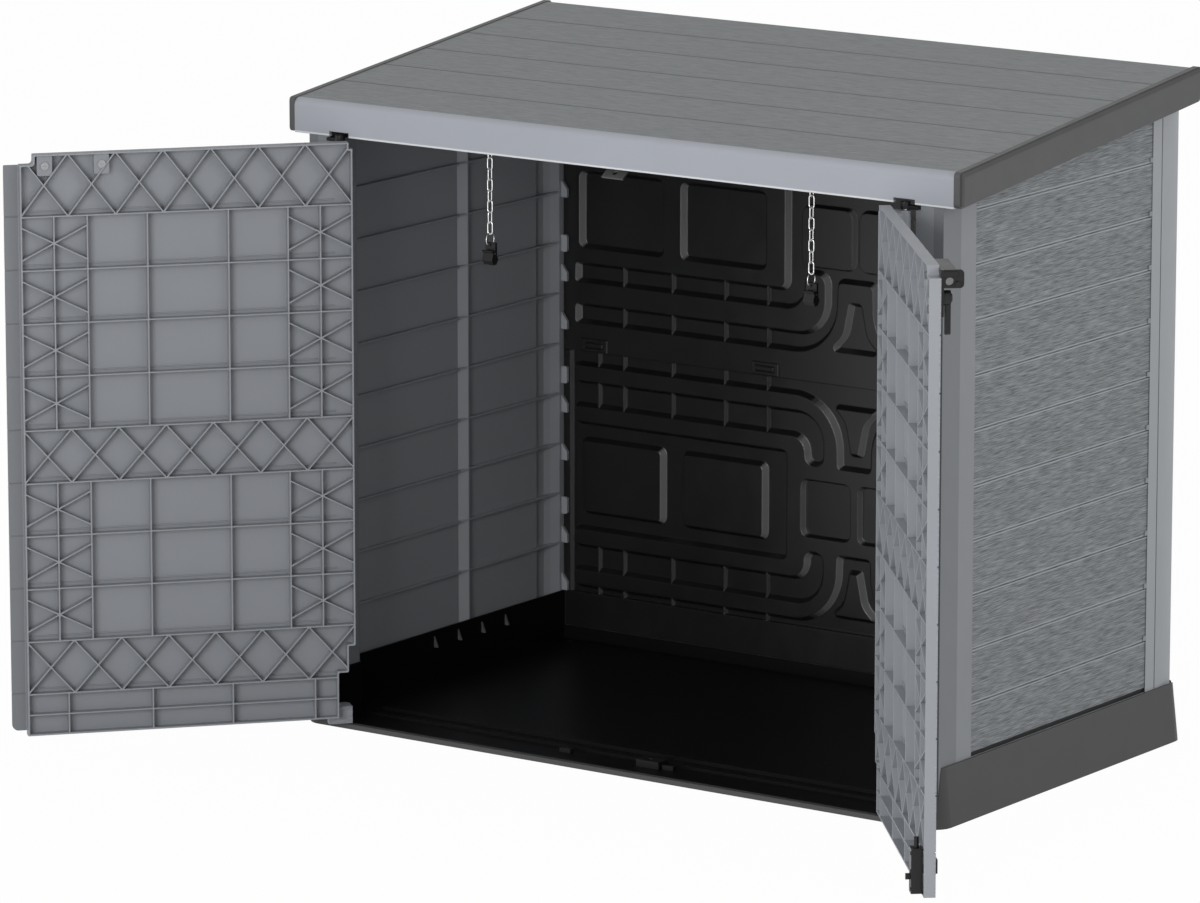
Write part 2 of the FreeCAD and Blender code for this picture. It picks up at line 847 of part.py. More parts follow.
def ticks(name, places, low, high):
    """Thin upright ribs that stiffen the sunk parts of a panel."""
    spots = [f"{side}*{place}" for side in (-1, 1) for place in places]
    return [block(f"{name}_tick_{i}", centred(spot, "tick_width"),
                  (f"{BACK_FRONT} + tick_depth", f"{BACK_FRONT} + relief_depth + 1"), (low, high))
            for i, spot in enumerate(spots)]


def rear_pockets(name, low, high):
    """The open cells behind a back panel, between its ribs."""
    span = value(f"2*({WALL_IN} - panel_border)")
    columns = int(value("pocket_columns"))
    rows = int(value("pocket_rows"))
    rib = value("pocket_rib")
    floor = value(f"{low} + panel_border")
    width = (span + rib) / columns
    height = (value(f"{high} - panel_border") - floor + rib) / rows
    depth = (f"{BACK_REAR} - pocket_depth", f"{BACK_REAR} + 1")
    cells = []
    for column in range(columns):
        x = -span / 2 + column * width
        for row in range(rows):
            z = floor + row * height
            cells.append(block(f"{name}_pocket_{column}_{row}", (x, x + width - rib), depth,
                               (z, z + height - rib)))
    return cells


def panel_span():
    return (f"-{WALL_IN} + fit_gap", f"{WALL_IN} - fit_gap")


def upper_back_panel():
    """Panel with its figure pressed in, and a lip that closes the gap under the roof."""
    low = value("seam_z + upper_square_rise")
    slope = value("relief_slope")
    blank = block("upper_back_blank", panel_span(), (BACK_FRONT, BACK_REAR),
                  ("seam_z + seam_gap", BACK_TOP))
    head = (-value("sunk_frame"), value(f"{BACK_TOP} - middle_top_gap"), value("relief_corner"))
    forms = [both_halves([head] + bent_bars("sunk", low, 1)), horn(low, 1), *both_sides(squares(low))]
    tools = [feature(f"upper_back_form_{i}", relief(points, slope)) for i, points in enumerate(forms)]
    tools += rear_pockets("upper_back", "seam_z", BACK_TOP)
    standing = [feature(f"upper_back_square_{i}", relief(points, -slope / 2))
                for i, points in enumerate(both_sides([small_square(low)]))]
    lip = block("upper_back_lip", panel_span(), (BACK_FRONT, f"{BACK_FRONT} + back_lip"),
                (f"{BACK_TOP} - 1", f"{BACK_TOP} + back_lip_height"))
    places = ("tick_first", "tick_second", "tick_third", "tick_fourth")
    ribs = ticks("upper_back", places, f"{low} - sunk_border - bar_pitch - sunk_bar",
                 f"{low} - sunk_border")
    pressed = cut("upper_back_pressed", blank, *tools)
    node(fuse("upper_back", pressed, *standing, lip, *ribs), "upper_back_panel")


def lower_back_panel():
    """A pressing the other way out: the same figure stands up in a hollow, mirrored up and down."""
    slope = value("relief_slope")
    base = value("seam_z - lower_square_drop - square_height")
    low = base + slope
    high = base + value("square_height") - slope
    blank = block("lower_back_blank", panel_span(), (BACK_FRONT, BACK_REAR), ("seat_level", "seam_z"))
    hollow = block("lower_back_hollow", (f"-{WALL_IN} + panel_border", f"{WALL_IN} - panel_border"),
                   (f"{BACK_FRONT} - 1", f"{BACK_FRONT} + relief_depth"), ("base_height", "seam_z + 1"))
    open_blank = cut("lower_back_open", blank, hollow, *rear_pockets("lower_back", "seat_level", "seam_z"))
    forms = [both_halves(bent_bars("raised", high, -1)[::-1] + bent_bars("raised", low, 1))]
    forms += [inset(points, slope) for points in (horn(low, 1), horn(high, -1), *both_sides(squares(base)))]
    raised = [feature(f"lower_back_form_{i}", relief(points, -slope)) for i, points in enumerate(forms)]
    places = ("tick_first", "tick_second", "tick_third", "tick_fourth", "tick_last")
    ribs = ticks("lower_back_foot", places, "base_height - 1", f"{low} - raised_border")
    ribs += ticks("lower_back_head", places, f"{high} + raised_border", "seam_z")
    dents = [feature(f"lower_back_dent_{i}", relief(points, slope / 2))
             for i, points in enumerate(both_sides([small_square(base)]))]
    standing = fuse("lower_back_standing", open_blank, *raised, *ribs)
    node(cut("lower_back", standing, *dents), "lower_back_panel")


def back_panel_latches():
    """Four snap latches along the foot of the upper panel, each with a sprung tongue cut free."""
    low = "(seam_z + latch_lift)"
    middle = f"({low} + latch_height/2)"
    depth = (f"{BACK_FRONT} - latch_thick", BACK_FRONT)
    through = (f"{BACK_FRONT} - latch_thick - 1", f"{BACK_FRONT} + 1")
    latches = []
    places = [f"{side}*{x}" for side in (-1, 1) for x in ("latch_inner", "latch_outer")]
    for count, place in enumerate(places):
        plate = block(f"latch_plate_{count}", centred(place, "latch_length"), depth,
                      (low, f"{low} + latch_height"))
        end = f"({place} + latch_length/2 - latch_margin)"
        run = (f"{place} - latch_length/2 + latch_margin", end)
        slits = [block(f"latch_slit_{count}_{i}", run, through,
                       centred(f"({middle} + {way}*latch_tongue/2)", "latch_slit"))
                 for i, way in enumerate((-1, 1))]
        slits.append(block(f"latch_end_{count}", (f"{end} - latch_slit", end), through,
                           centred(middle, "latch_tongue")))
        latches.append(cut(f"latch_{count}", plate, *slits))
    node(group("back_panel_latches", *latches), "back_panel_latches")


def lid_profile():
    """Side view of the roof: fascia, rounded front edge, plank grooves and rear skirt."""
    front = value(LID_FRONT)
    rear = value(LID_REAR)
    wall = value("fascia_wall")
    bottom = value("front_height")
    skirt = value(f"{LID_AXIS_Z} + lid_pin_radius + running_gap + 1")
    half = value("groove_width") / 2
    radius = value("roof_round")
    edge = value("fascia_edge")
    points = [(front, bottom, edge), (front, roof_top(front), radius)]
    planks = int(value("roof_planks"))
    for count in range(1, planks):
        y = front + radius + count * (rear - front - 2 * radius) / planks
        points.append((y - half, roof_top(y - half)))
        points.append((y, roof_top(y) - value("groove_depth")))
        points.append((y + half, roof_top(y + half)))
    points += [
        (rear, roof_top(rear), radius), (rear, skirt), (rear - wall, skirt),
        (rear - wall, roof_under(rear - wall)), (front + wall, roof_under(front + wall)),
        (front + wall, bottom, edge)]
    return points


def roof_strip(inset_by, low, high):
    """Side view of a strip that runs with the roof, between two distances below its top."""
    front = value(LID_FRONT) + inset_by
    rear = value(LID_REAR) - inset_by
    return [(front, roof_top(front) - low), (rear, roof_top(rear) - low),
            (rear, roof_top(rear) - high), (front, roof_top(front) - high)]


def hinge_places():
    return ("-lid_hinge_spread", "0", "lid_hinge_spread")


def lid_panel():
    """Roof panel with fascia, side skirts and ribs; the lid's half of each hinge is moulded on."""
    pieces = [body("roof", "YZ_Plane", lid_profile(), f"2*{LID_X}", middle=True)]
    under = value("roof_thick")
    for name, side in SIDES.items():
        outline = roof_strip(value("skirt_setback"), value("fascia_height - skirt_setback"), under / 2)
        skirt = body(f"{name}_skirt", "YZ_Plane", outline, "skirt_wall", back=side > 0)
        skirt.setExpression("Placement.Base.x", bind(f"{side}*{LID_X}"))
        pieces.append(skirt)
    for count in range(-2, 3):
        outline = roof_strip(value("fascia_wall/2"), under + value("roof_rib_depth"), under / 2)
        rib = body(f"roof_rib_{count + 2}", "YZ_Plane", outline, "roof_rib_width", middle=True)
        rib.setExpression("Placement.Base.x", bind(f"{count}*roof_rib_pitch"))
        pieces.append(rib)
    tools = []
    for name, side in SIDES.items():
        tools.append(block(f"fascia_{name}_notch", centred(f"{side}*{PIVOT_X}", "notch_width"),
                           (f"{LID_FRONT} - 1", f"{LID_FRONT} + fascia_wall + 1"),
                           ("front_height - 1", "front_height + notch_height")))
    knuckle = f"({LID_AXIS_Z} + lid_knuckle_radius + lid_knuckle_swing)"
    for count, place in enumerate(hinge_places()):
        tools.append(block(f"skirt_gap_{count}", centred(place, "3*lid_knuckle_length + 4*lid_knuckle_swing"),
                           (f"{LID_REAR} - fascia_wall - 1", f"{LID_REAR} + 1"), (LID_AXIS_Z, knuckle)))
    shell = cut("lid_shell", fuse("lid_blank", *pieces), *tools)
    knuckles = []
    bores = []
    length = "lid_knuckle_length - 2*fit_gap"
    for count, place in enumerate(hinge_places()):
        start = (f"{place} - ({length})/2", LID_AXIS_Y, LID_AXIS_Z)
        knuckles.append(rod(f"lid_knuckle_{count}", "lid_knuckle_radius", length, start, "x"))
        knuckles.append(block(f"lid_web_{count}", centred(place, length),
                              (f"{LID_REAR} - fascia_wall", LID_REAR), (LID_AXIS_Z, f"{knuckle} + 1")))
        bores.append(rod(f"lid_bore_{count}", "lid_pin_radius + running_gap", length, start, "x"))
    node(cut("lid_panel", fuse("lid_with_knuckles", shell, *knuckles), *bores), "lid_panel")


def lid_hinges():
    """Three fixed hinge halves on top of the upper back panel, with their pins."""
    brackets = []
    pins = []
    span = "3*lid_knuckle_length"
    for count, place in enumerate(hinge_places()):
        barrel_start = (f"{place} - {span}/2", LID_AXIS_Y, LID_AXIS_Z)
        plate = block(f"hinge_plate_{count}", centred(place, span), (f"{BACK_FRONT} + back_lip", BACK_REAR),
                      (BACK_TOP, f"{BACK_TOP} + bracket_plate"))
        barrel = rod(f"hinge_barrel_{count}", "lid_knuckle_radius", span, barrel_start, "x")
        foot = block(f"hinge_foot_{count}", centred(place, span),
                     centred(LID_AXIS_Y, "lid_knuckle_radius*1.4"), (BACK_TOP, LID_AXIS_Z))
        solid = fuse(f"hinge_solid_{count}", plate, barrel, foot)
        bore = rod(f"hinge_bore_{count}", "lid_pin_radius", span, barrel_start, "x")
        room = block(f"hinge_room_{count}", centred(place, "lid_knuckle_length"),
                     (BACK_FRONT, f"{BACK_REAR} + lid_knuckle_radius"),
                     (f"{BACK_TOP} + bracket_plate - lid_knuckle_swing",
                      f"{LID_AXIS_Z} + 2*lid_knuckle_radius"))
        brackets.append(cut(f"hinge_bracket_{count}", solid, bore, room))
        pins.append(rod(f"hinge_pin_{count}", "lid_pin_radius", span, barrel_start, "x"))
    node(group("lid_hinge_brackets", *brackets), "lid_hinge_brackets")
    node(group("lid_hinge_pins", *pins), "lid_hinge_pins")


def end_cap(name, side):
    """Dark strip that closes the lid's end, with a bead along its top and down its front."""
    drop = value("fascia_height")
    rise = value("cap_rise")
    bead = value("cap_bead_width")
    edge = value("cap_bead_inset")
    outline = [point + (value("cap_corner"),) for point in roof_strip(0, drop, -rise)]
    cap = body(f"{name}_cap_plate", "YZ_Plane", outline, "cap_thick", back=side < 0)
    cap.setExpression("Placement.Base.x", bind(f"{side}*{LID_X}"))
    rail = body(f"{name}_cap_rail", "YZ_Plane", roof_strip(edge, bead, edge / 2 - rise), "cap_bead",
                back=side < 0)
    front = value(LID_FRONT) + edge
    upright = [(front, roof_top(front) - drop + edge), (front + bead, roof_top(front + bead) - drop + edge),
               (front + bead, roof_top(front + bead) - edge), (front, roof_top(front) - edge)]
    post = body(f"{name}_cap_upright", "YZ_Plane", upright, "cap_bead", back=side < 0)
    for strip in (rail, post):
        strip.setExpression("Placement.Base.x", bind(f"{side}*({LID_X} + cap_thick)"))
    node(fuse(f"{name}_lid_end_cap", cap, rail, post), f"{name}_lid_end_cap")


def lid_staple():
    """Holed strap that hangs from the roof and leans forward above the doors' cut-away corners."""
    face = value(f"{LID_FRONT} + staple_inset")
    knee = value("front_height - staple_knee_drop")
    thick = value("staple_thick")
    reach = value("staple_reach")
    drop = value("staple_drop")
    run = math.hypot(reach, drop)
    lean = Vector(0, thick * drop / run, -thick * reach / run)
    elbow = knee + lean.z + (thick - lean.y) * drop / reach
    outline = [
        (face, roof_under(face)), (face + thick, roof_under(face + thick)), (face + thick, elbow),
        (face - reach + lean.y, knee - drop + lean.z), (face - reach, knee - drop), (face, knee)]
    strap = body("staple_strap", "YZ_Plane", outline, "staple_width", middle=True)
    strap.setExpression("Placement.Base.x", bind("-staple_offset"))
    centre = Vector(-value("staple_offset"), face - reach / 2, knee - drop / 2)
    hole = feature("staple_hole", Part.makeCylinder(value("staple_bore/2"), 3 * thick, centre - lean, lean))
    room = block("staple_rib_room", centred("0", "roof_rib_width + 2*fit_gap"),
                 (f"{face} - 1", f"{face + thick} + 1"),
                 (f"{roof_under(face)} - roof_rib_depth - 1", f"{roof_under(face)} + 1"))
    node(cut("lid_staple", strap, hole, room), "lid_staple")


def swung(thing, side):
    """Turn a piece made on the closed door out to where the door stands open."""
    pivot = Vector(side * value(PIVOT_X), value(PIVOT_Y), 0)
    thing.Placement = Placement(Vector(), Rotation(Vector(0, 0, 1), side * value("door_open")), pivot)
    return thing


def along(side, low, high):
    """X limits of a stretch measured from the pivot along the closed door."""
    return mirrored(side, f"{PIVOT_X} - ({high})", f"{PIVOT_X} - ({low})")


def on_door(side, points, start, depth):
    """A prism from an outline in door coordinates, standing from a depth in the closed door."""
    pivot_x = value(PIVOT_X)
    face = Part.Face(wire([(side * (pivot_x - p[0]),) + tuple(p[1:]) for p in points]))
    face.rotate(Vector(), Vector(1, 0, 0), 90)
    face.translate(Vector(0, value(start), 0))
    return face.extrude(Vector(0, value(depth), 0))


def door_outline(trim=0):
    """Outline of a door: distance from the pivot, and height. The hinge edge clears the kerb."""
    edge = -value("door_edge") + trim
    end = value(DOOR_REACH) - trim
    top = value(DOOR_TOP) - trim
    low = value(DOOR_LOW) + trim
    kerb = value("base_height + kerb_gap") + trim
    high = kerb + value("kerb_step")
    notch = end - value("corner_width")
    drop = top - value("corner_drop")
    step = edge + value("kerb_clear_low")
    ease = edge + value("kerb_clear_high")
    head = top - value("door_head")
    back = edge + value("door_head_step")
    return [(edge, high, 3), (edge, head), (back, head), (back, top), (notch, top, 2), (notch, drop, 7),
            (end, drop, 2), (end, low), (step, low), (step, kerb, 3), (ease, kerb, 3), (ease, high, 3)]


def starred(x0, x1, z0, z1):
    """The openings that a cross of ribs and an upright rib leave in a cell."""
    middle = ((x0 + x1) / 2, (z0 + z1) / 2)
    step = value("star_step")
    cells = []
    for x in (x0, x1):
        cells.append([(x, z0 + step), (x, z1 - step), middle])
        cells.append([(x, z0), (middle[0], z0), middle, (x, z0 + step)])
        cells.append([(x, z1), (middle[0], z1), middle, (x, z1 - step)])
    return cells


def diamond_row(x0, x1, z0, z1):
    """The openings of a band of crossed ribs."""
    count = int(value("diamonds"))
    bounds = [x0 + (x1 - x0) * i / count for i in range(count + 1)]
    middle = (z0 + z1) / 2
    peaks = [(left + right) / 2 for left, right in zip(bounds, bounds[1:])]
    cells = [[(x0, z0), (peaks[0], middle), (x0, z1)], [(x1, z0), (peaks[-1], middle), (x1, z1)]]
    for left, right, peak in zip(bounds, bounds[1:], peaks):
        cells.append([(left, z0), (right, z0), (peak, middle)])
        cells.append([(left, z1), (right, z1), (peak, middle)])
    for left, right, joint in zip(peaks, peaks[1:], bounds[1:]):
        cells.append([(left, middle), (joint, z0), (right, middle), (joint, z1)])
    return cells


def plain_cells(posts, z0, z1):
    return [[(left, z0), (right, z0), (right, z1), (left, z1)] for left, right in zip(posts, posts[1:])]


def door_cells():
    """Every opening between a door's ribs: bands of diamonds, plain rows with stars, a foot row."""
    edge = -value("door_edge")
    end = value(DOOR_REACH)
    star = edge + value("star_width")
    free_star = end - value("free_star_width")
    middle = [(star + free_star - value("middle_cell")) / 2, (star + free_star + value("middle_cell")) / 2]
    end_cell = value("end_cell")
    rows = [value(DOOR_TOP)] + door_lines() + [value(DOOR_LOW)]
    last = len(rows) - 2
    cells = []
    for index, (high, low) in enumerate(zip(rows, rows[1:])):
        if index in (0, last // 2, last - 1):
            cells += diamond_row(edge, end, low, high)
        elif index == last:
            posts = [edge, edge + end_cell, *middle, end - end_cell, end]
            cells += plain_cells(posts, low, (low + high) / 2)
            cells += plain_cells(posts, (low + high) / 2, high)
        else:
            cells += starred(edge, star, low, high)
            cells += starred(free_star, end, low, high)
            cells += plain_cells([star, *middle, free_star], low, high)
    return cells


def door_lines():
    """Heights of the plank lines that cross a door, but for the one close under its top."""
    return groove_levels(value(f"{DOOR_LOW} + plank_pitch/4"), value(f"{DOOR_TOP} - plank_pitch/2"))


def hasp_spots():
    """Distance from the pivot and height of the two screws of the left door's hasp bracket."""
    first = value(f"{DOOR_REACH} - hasp_end_gap - hasp_screw_inset")
    level = value(f"{DOOR_TOP} - screw_drop")
    return [(first, level), (first - value("hasp_screw_pitch"), level)]


def lock_spots():
    """Distance from the pivot and height of the two screws of the lock block."""
    first = value(f"{DOOR_REACH} - lock_end_gap - lock_screw_inset")
    level = value(f"{DOOR_TOP} - screw_drop")
    return [(first, level), (first + value("lock_screw_spread"), level - value("lock_screw_pitch"))]


def door(name, side):
    """Plank-faced door, open-ribbed inside, hung on two arms that carry its pivot in front of it."""
    slab = feature(f"{name}_slab", on_door(side, door_outline(), DOOR_OUT, "door_thick"))
    inside = f"{DOOR_OUT} + door_skin"
    cavity = on_door(side, door_outline(value("door_rim")), inside, "door_thick")
    half_rib = value("door_rib") / 2
    openings = [on_door(side, inset(cell, half_rib), inside, "door_thick") for cell in door_cells()]
    hollow = feature(f"{name}_hollow", cavity.common(Part.makeCompound(openings)))
    pieces = [cut(f"{name}_ribbed", slab, hollow)]
    pivot = (f"{side}*{PIVOT_X}", PIVOT_Y)
    for place, level in (("bottom", ARM_LOW), ("top", f"({ARM_TOP} - arm_height)")):
        rise = (level, f"{level} + arm_height")
        pieces.append(rod(f"{name}_{place}_eye", "arm_radius", "arm_height", (*pivot, level)))
        pieces.append(block(f"{name}_{place}_arm", along(side, "-arm_radius", "arm_radius"),
                            (PIVOT_Y, f"{DOOR_OUT} + door_skin/2"), rise))
        pieces.append(block(f"{name}_{place}_strap", along(side, "-arm_radius", "arm_length"),
                            (f"{PIVOT_Y} + arm_radius", f"{DOOR_OUT} + door_skin/2"), rise))
    low = value(f"{DOOR_LOW} + strip_lift")
    high = value(f"{DOOR_TOP} - corner_drop - fascia_edge")
    start = value(f"{DOOR_REACH} - door_rim/2")
    finish = value(f"{DOOR_REACH} + cover_strip")
    spots = hasp_spots() if side < 0 else lock_spots()
    if side < 0:
        strip = [(start, low), (finish, low, value("strip_corner")), (finish, high, 2), (start, high)]
        pieces.append(feature(f"{name}_cover_strip", on_door(side, strip, DOOR_OUT, "door_skin")))
    tools = [rod(f"{name}_bottom_bore", "pin_radius", "arm_height", (*pivot, f"{ARM_LOW} - 1")),
             rod(f"{name}_top_bore", "pin_radius + running_gap", "arm_height",
                 (*pivot, f"{ARM_TOP} - arm_height + arm_cap"))]
    for count, (s, z) in enumerate(spots):
        wide = value("boss_width") / 2
        tall = value("boss_height") / 2
        boss = rectangle(s - wide, s + wide, z - tall, min(z + tall, value(f"{DOOR_TOP} - door_rim/2")), 4)
        shape = on_door(side, boss, f"{DOOR_OUT} + door_skin/2", "door_thick - door_skin/2 - screw_head")
        pieces.append(feature(f"{name}_boss_{count}", shape))
        middle = f"{side}*({PIVOT_X} - {s})"
        tools.append(rod(f"{name}_screw_hole_{count}", "screw_radius", "door_thick",
                         (middle, DOOR_OUT, f"{z}"), "y"))
        tools.append(rod(f"{name}_screw_seat_{count}", "screw_head_radius + fit_gap", "screw_head",
                         (middle, f"{DOOR_IN} - screw_head", f"{z}"), "y"))
    for count, level in enumerate(door_lines()):
        tools.append(block(f"{name}_groove_{count}",
                           along(side, "-door_edge - 1", f"{DOOR_REACH} + cover_strip + 1"),
                           (f"{DOOR_OUT} - 1", f"{DOOR_OUT} + groove_depth"), centred(level, "groove_width")))
        pieces.append(block(f"{name}_bead_{count}", along(side, "kerb_clear_low - door_edge", DOOR_REACH),
                            (f"{DOOR_OUT} + door_skin/2", f"{inside} + door_bead_depth"),
                            centred(f"({level} + door_bead_lift)", "door_bead")))
        if side < 0:
            tools.append(block(f"{name}_strip_mark_{count}",
                               along(side, f"{DOOR_REACH} + 1", f"{DOOR_REACH} + cover_strip + 1"),
                               (f"{inside} - strip_mark_depth", f"{inside} + 1"),
                               centred(level, "strip_mark")))
    panel = cut(f"{name}_door", fuse(f"{name}_door_blank", *pieces), *tools)
    node(swung(panel, side), f"{name}_door")


def door_screws(name, side, spots, plate):
    """Cross-head screws driven from the inside of a door into the plate that they hold outside."""
    made = []
    for count, (s, z) in enumerate(spots):
        x = f"{side}*({PIVOT_X} - {s})"
        shank = rod(f"{name}_shank_{count}", "screw_radius", f"door_thick - screw_head + {plate}",
                    (x, f"{DOOR_OUT} - {plate}", f"{z}"), "y")
        head = rod(f"{name}_head_{count}", "screw_head_radius", "screw_head",
                   (x, f"{DOOR_IN} - screw_head", f"{z}"), "y")
        depth = (f"{DOOR_IN} - screw_head/2", f"{DOOR_IN} + 1")
        long = "1.3*screw_head_radius"
        slots = [
            block(f"{name}_slot_{count}", centred(x, long), depth, centred(z, "screw_slot")),
            block(f"{name}_cross_{count}", centred(x, "screw_slot"), depth, centred(z, long)),
        ]
        made.append(cut(f"{name}_{count}", fuse(f"{name}_blank_{count}", shank, head), *slots))
    node(swung(group(name, *made), side), name)


def hasp_bracket():
    """Plate on the outside of the left door, with a hook that the latch lever turns in behind."""
    end = f"({DOOR_REACH} - hasp_end_gap)"
    low = f"({DOOR_TOP} - screw_drop - hasp_height/2)"
    plate = block("hasp_plate_bar", along(-1, f"{end} - hasp_length", end),
                  (f"{DOOR_OUT} - hasp_plate", DOOR_OUT), (low, f"{low} + hasp_height"))
    run = along(-1, f"{end} - hasp_plate", f"{DOOR_REACH} + hook_reach")
    hook_in = f"({DOOR_OUT} - lever_reach - hook_gap)"
    shelf = block("hasp_shelf", run, (f"{hook_in} - hasp_plate", DOOR_OUT), (low, f"{low} + hook_shelf"))
    hook = block("hasp_hook", run, (f"{hook_in} - hasp_plate", hook_in),
                 (f"{low} + hook_shelf - hook_height", f"{low} + hook_shelf"))
    holes = [rod(f"hasp_hole_{i}", "screw_radius", "hasp_plate",
                 (f"-({PIVOT_X} - {s})", f"{DOOR_OUT} - hasp_plate", f"{z}"), "y")
             for i, (s, z) in enumerate(hasp_spots())]
    bracket = cut("hasp_bracket", fuse("hasp_blank", plate, shelf, hook), *holes)
    node(swung(bracket, -1), "left_hasp_bracket")


def lock_block():
    """Block on the outside of the right door with a padlock eye; the lever's stud screws into it."""
    end = f"({DOOR_REACH} - lock_end_gap)"
    top = f"({DOOR_TOP} - lock_top_gap)"
    run = along(1, f"{end} - lock_length", end)
    plate = block("lock_plate_bar", run, (f"{DOOR_OUT} - lock_plate", DOOR_OUT),
                  (f"{top} - lock_height", top))
    wing = block("lock_wing_bar", along(1, f"{end} - lock_wing_length", end),
                 (f"{DOOR_OUT} - lock_wing_reach", DOOR_OUT),
                 (f"{top} - lock_wing_drop - lock_wing", f"{top} - lock_wing_drop"))
    face = value(DOOR_OUT)
    tip = face - value("eye_reach")
    high = value(top)
    low = high - value("eye_height")
    corner = value("eye_corner")
    outline = [(face, low), (tip, low, corner), (tip, high, corner), (face, high)]
    eye = body("lock_eye", "YZ_Plane", outline, "eye_thick")
    eye_x = f"({PIVOT_X} - {end} + 2)"
    eye.setExpression("Placement.Base.x", bind(eye_x))
    knob = rod("lock_knob", "knob_radius", "knob_height + 1",
               (f"{eye_x} - knob_height", f"{DOOR_OUT} - eye_reach + knob_inset", f"{top} - knob_drop"), "x")
    hole = rod("lock_hole", "padlock_bore/2", "eye_thick + 2",
               (f"{eye_x} - 1", f"{DOOR_OUT} - eye_reach + padlock_inset", f"{top} - padlock_drop"), "x")
    stud_hole = rod("lock_stud_hole", "screw_radius", "lock_plate",
                    (STUD_X, f"{DOOR_OUT} - lock_plate", STUD_Z), "y")
    taps = [rod(f"lock_tap_{i}", "screw_radius", "lock_plate",
                (f"{PIVOT_X} - {s}", f"{DOOR_OUT} - lock_plate", f"{z}"), "y")
            for i, (s, z) in enumerate(lock_spots())]
    lock = cut("lock_body", fuse("lock_blank", plate, wing, eye, knob), hole, stud_hole, *taps)
    node(swung(lock, 1), "lock_block")


def latch_lever():
    """Lever that turns on a headed stud and hooks behind the left door's bracket."""
    outer = f"({DOOR_OUT} - lever_reach)"
    stud = fuse("stud", rod("stud_shank", "screw_radius", "lever_reach", (STUD_X, outer, STUD_Z), "y"),
                rod("stud_cap", "screw_head_radius", "stud_head",
                    (STUD_X, f"{outer} - stud_head", STUD_Z), "y"))
    node(swung(stud, 1), "lever_stud")
    boss = rod("lever_boss", "lever_boss_radius", "lever_reach - lock_plate - 2*lever_gap",
               (STUD_X, f"{outer} + lever_gap", STUD_Z), "y")
    x = value(STUD_X)
    z = value(STUD_Z)
    half = value("lever_width") / 2
    tip = z - value("lever_length")
    outline = [(x - half, z), (x - half, tip, half - 1), (x + half, tip, half - 1), (x + half, z)]
    grip = body("lever_grip", "XZ_Plane", outline, "lever_thick")
    grip.setExpression("Placement.Base.y", bind(f"{outer} + lever_gap + lever_thick"))
    bore = rod("lever_bore", "screw_radius + running_gap", "lever_reach", (STUD_X, outer, STUD_Z), "y")
    node(swung(cut("lever", fuse("lever_blank", boss, grip), bore), 1), "latch_lever")


def drop_bolt():
    """Housing inside the right door's foot, its sliding bolt, its screws and its outer backing tab."""
    case = block("bolt_case", centred(BOLT_X, "housing_width"), (DOOR_IN, f"{DOOR_IN} + housing_depth"),
                 (BOLT_LOW, f"{BOLT_LOW} + housing_height"))
    bore = rod("bolt_bore", "bolt_radius + running_gap", "housing_height", (BOLT_X, BOLT_Y, BOLT_LOW))
    slot = block("bolt_slot", centred(BOLT_X, "thumb_width + 2*fit_gap"),
                 (BOLT_Y, f"{DOOR_IN} + housing_depth + 1"),
                 (f"{BOLT_LOW} + thumb_level - bolt_travel - 1",
                  f"{BOLT_LOW} + thumb_level + thumb_height + 1"))
    screw_x = f"({BOLT_X} - housing_width/2 + bolt_screw_inset)"
    levels = [f"{BOLT_LOW} + bolt_screw_margin + {i}*bolt_screw_pitch" for i in range(3)]
    holes = [rod(f"bolt_screw_hole_{i}", "bolt_screw_radius", "housing_depth", (screw_x, DOOR_IN, z), "y")
             for i, z in enumerate(levels)]
    node(swung(cut("bolt_case_open", case, bore, slot, *holes), 1), "bolt_housing")
    shaft = rod("bolt_shaft", "bolt_radius", "bolt_length", (BOLT_X, BOLT_Y, BOLT_LOW))
    thumb = block("bolt_thumb", centred(BOLT_X, "thumb_width"),
                  (BOLT_Y, f"{DOOR_IN} + housing_depth + thumb_reach"),
                  (f"{BOLT_LOW} + thumb_level", f"{BOLT_LOW} + thumb_level + thumb_height"))
    node(swung(fuse("bolt", shaft, thumb), 1), "bolt_rod")
    screws = []
    for i, z in enumerate(levels):
        shank = rod(f"bolt_screw_shank_{i}", "bolt_screw_radius", "housing_depth", (screw_x, DOOR_IN, z), "y")
        head = rod(f"bolt_screw_head_{i}", "bolt_screw_head", "bolt_screw_radius",
                   (screw_x, f"{DOOR_IN} + housing_depth", z), "y")
        screws.append(fuse(f"bolt_screw_{i}", shank, head))
    node(swung(group("bolt_screw_set", *screws), 1), "bolt_screws")
    tab = block("backing_plate", centred(BOLT_X, "tab_width"), (f"{DOOR_OUT} - hasp_plate", DOOR_OUT),
                (f"{BOLT_LOW} + tab_level", f"{BOLT_LOW} + tab_level + tab_height"))
    node(swung(group("backing_tab", tab), 1), "bolt_backing_tab")


def sill_fittings():
    """Keeper for the drop bolt and two low stops, fixed to the sill behind the closed doors."""
    plate = block("keeper_plate", (f"{BOLT_X} - keeper_left", f"{BOLT_X} + keeper_right"),
                  centred(BOLT_Y, "keeper_depth"), ("sill_level", "sill_level + keeper_height"))
    hole = rod("keeper_hole", "bolt_radius + keeper_clear", "keeper_height", (BOLT_X, BOLT_Y, "sill_level"))
    node(cut("keeper", plate, hole), "bolt_keeper")
    stops = [block(f"stop_{i}", centred(place, "stop_width"),
                   (f"{DOOR_IN} + stop_gap", f"{DOOR_IN} + stop_gap + stop_depth"),
                   ("sill_level", "sill_level + stop_height"))
             for i, place in enumerate(("-stop_left_x", "stop_right_x"))]
    node(group("stops", *stops), "door_stops")


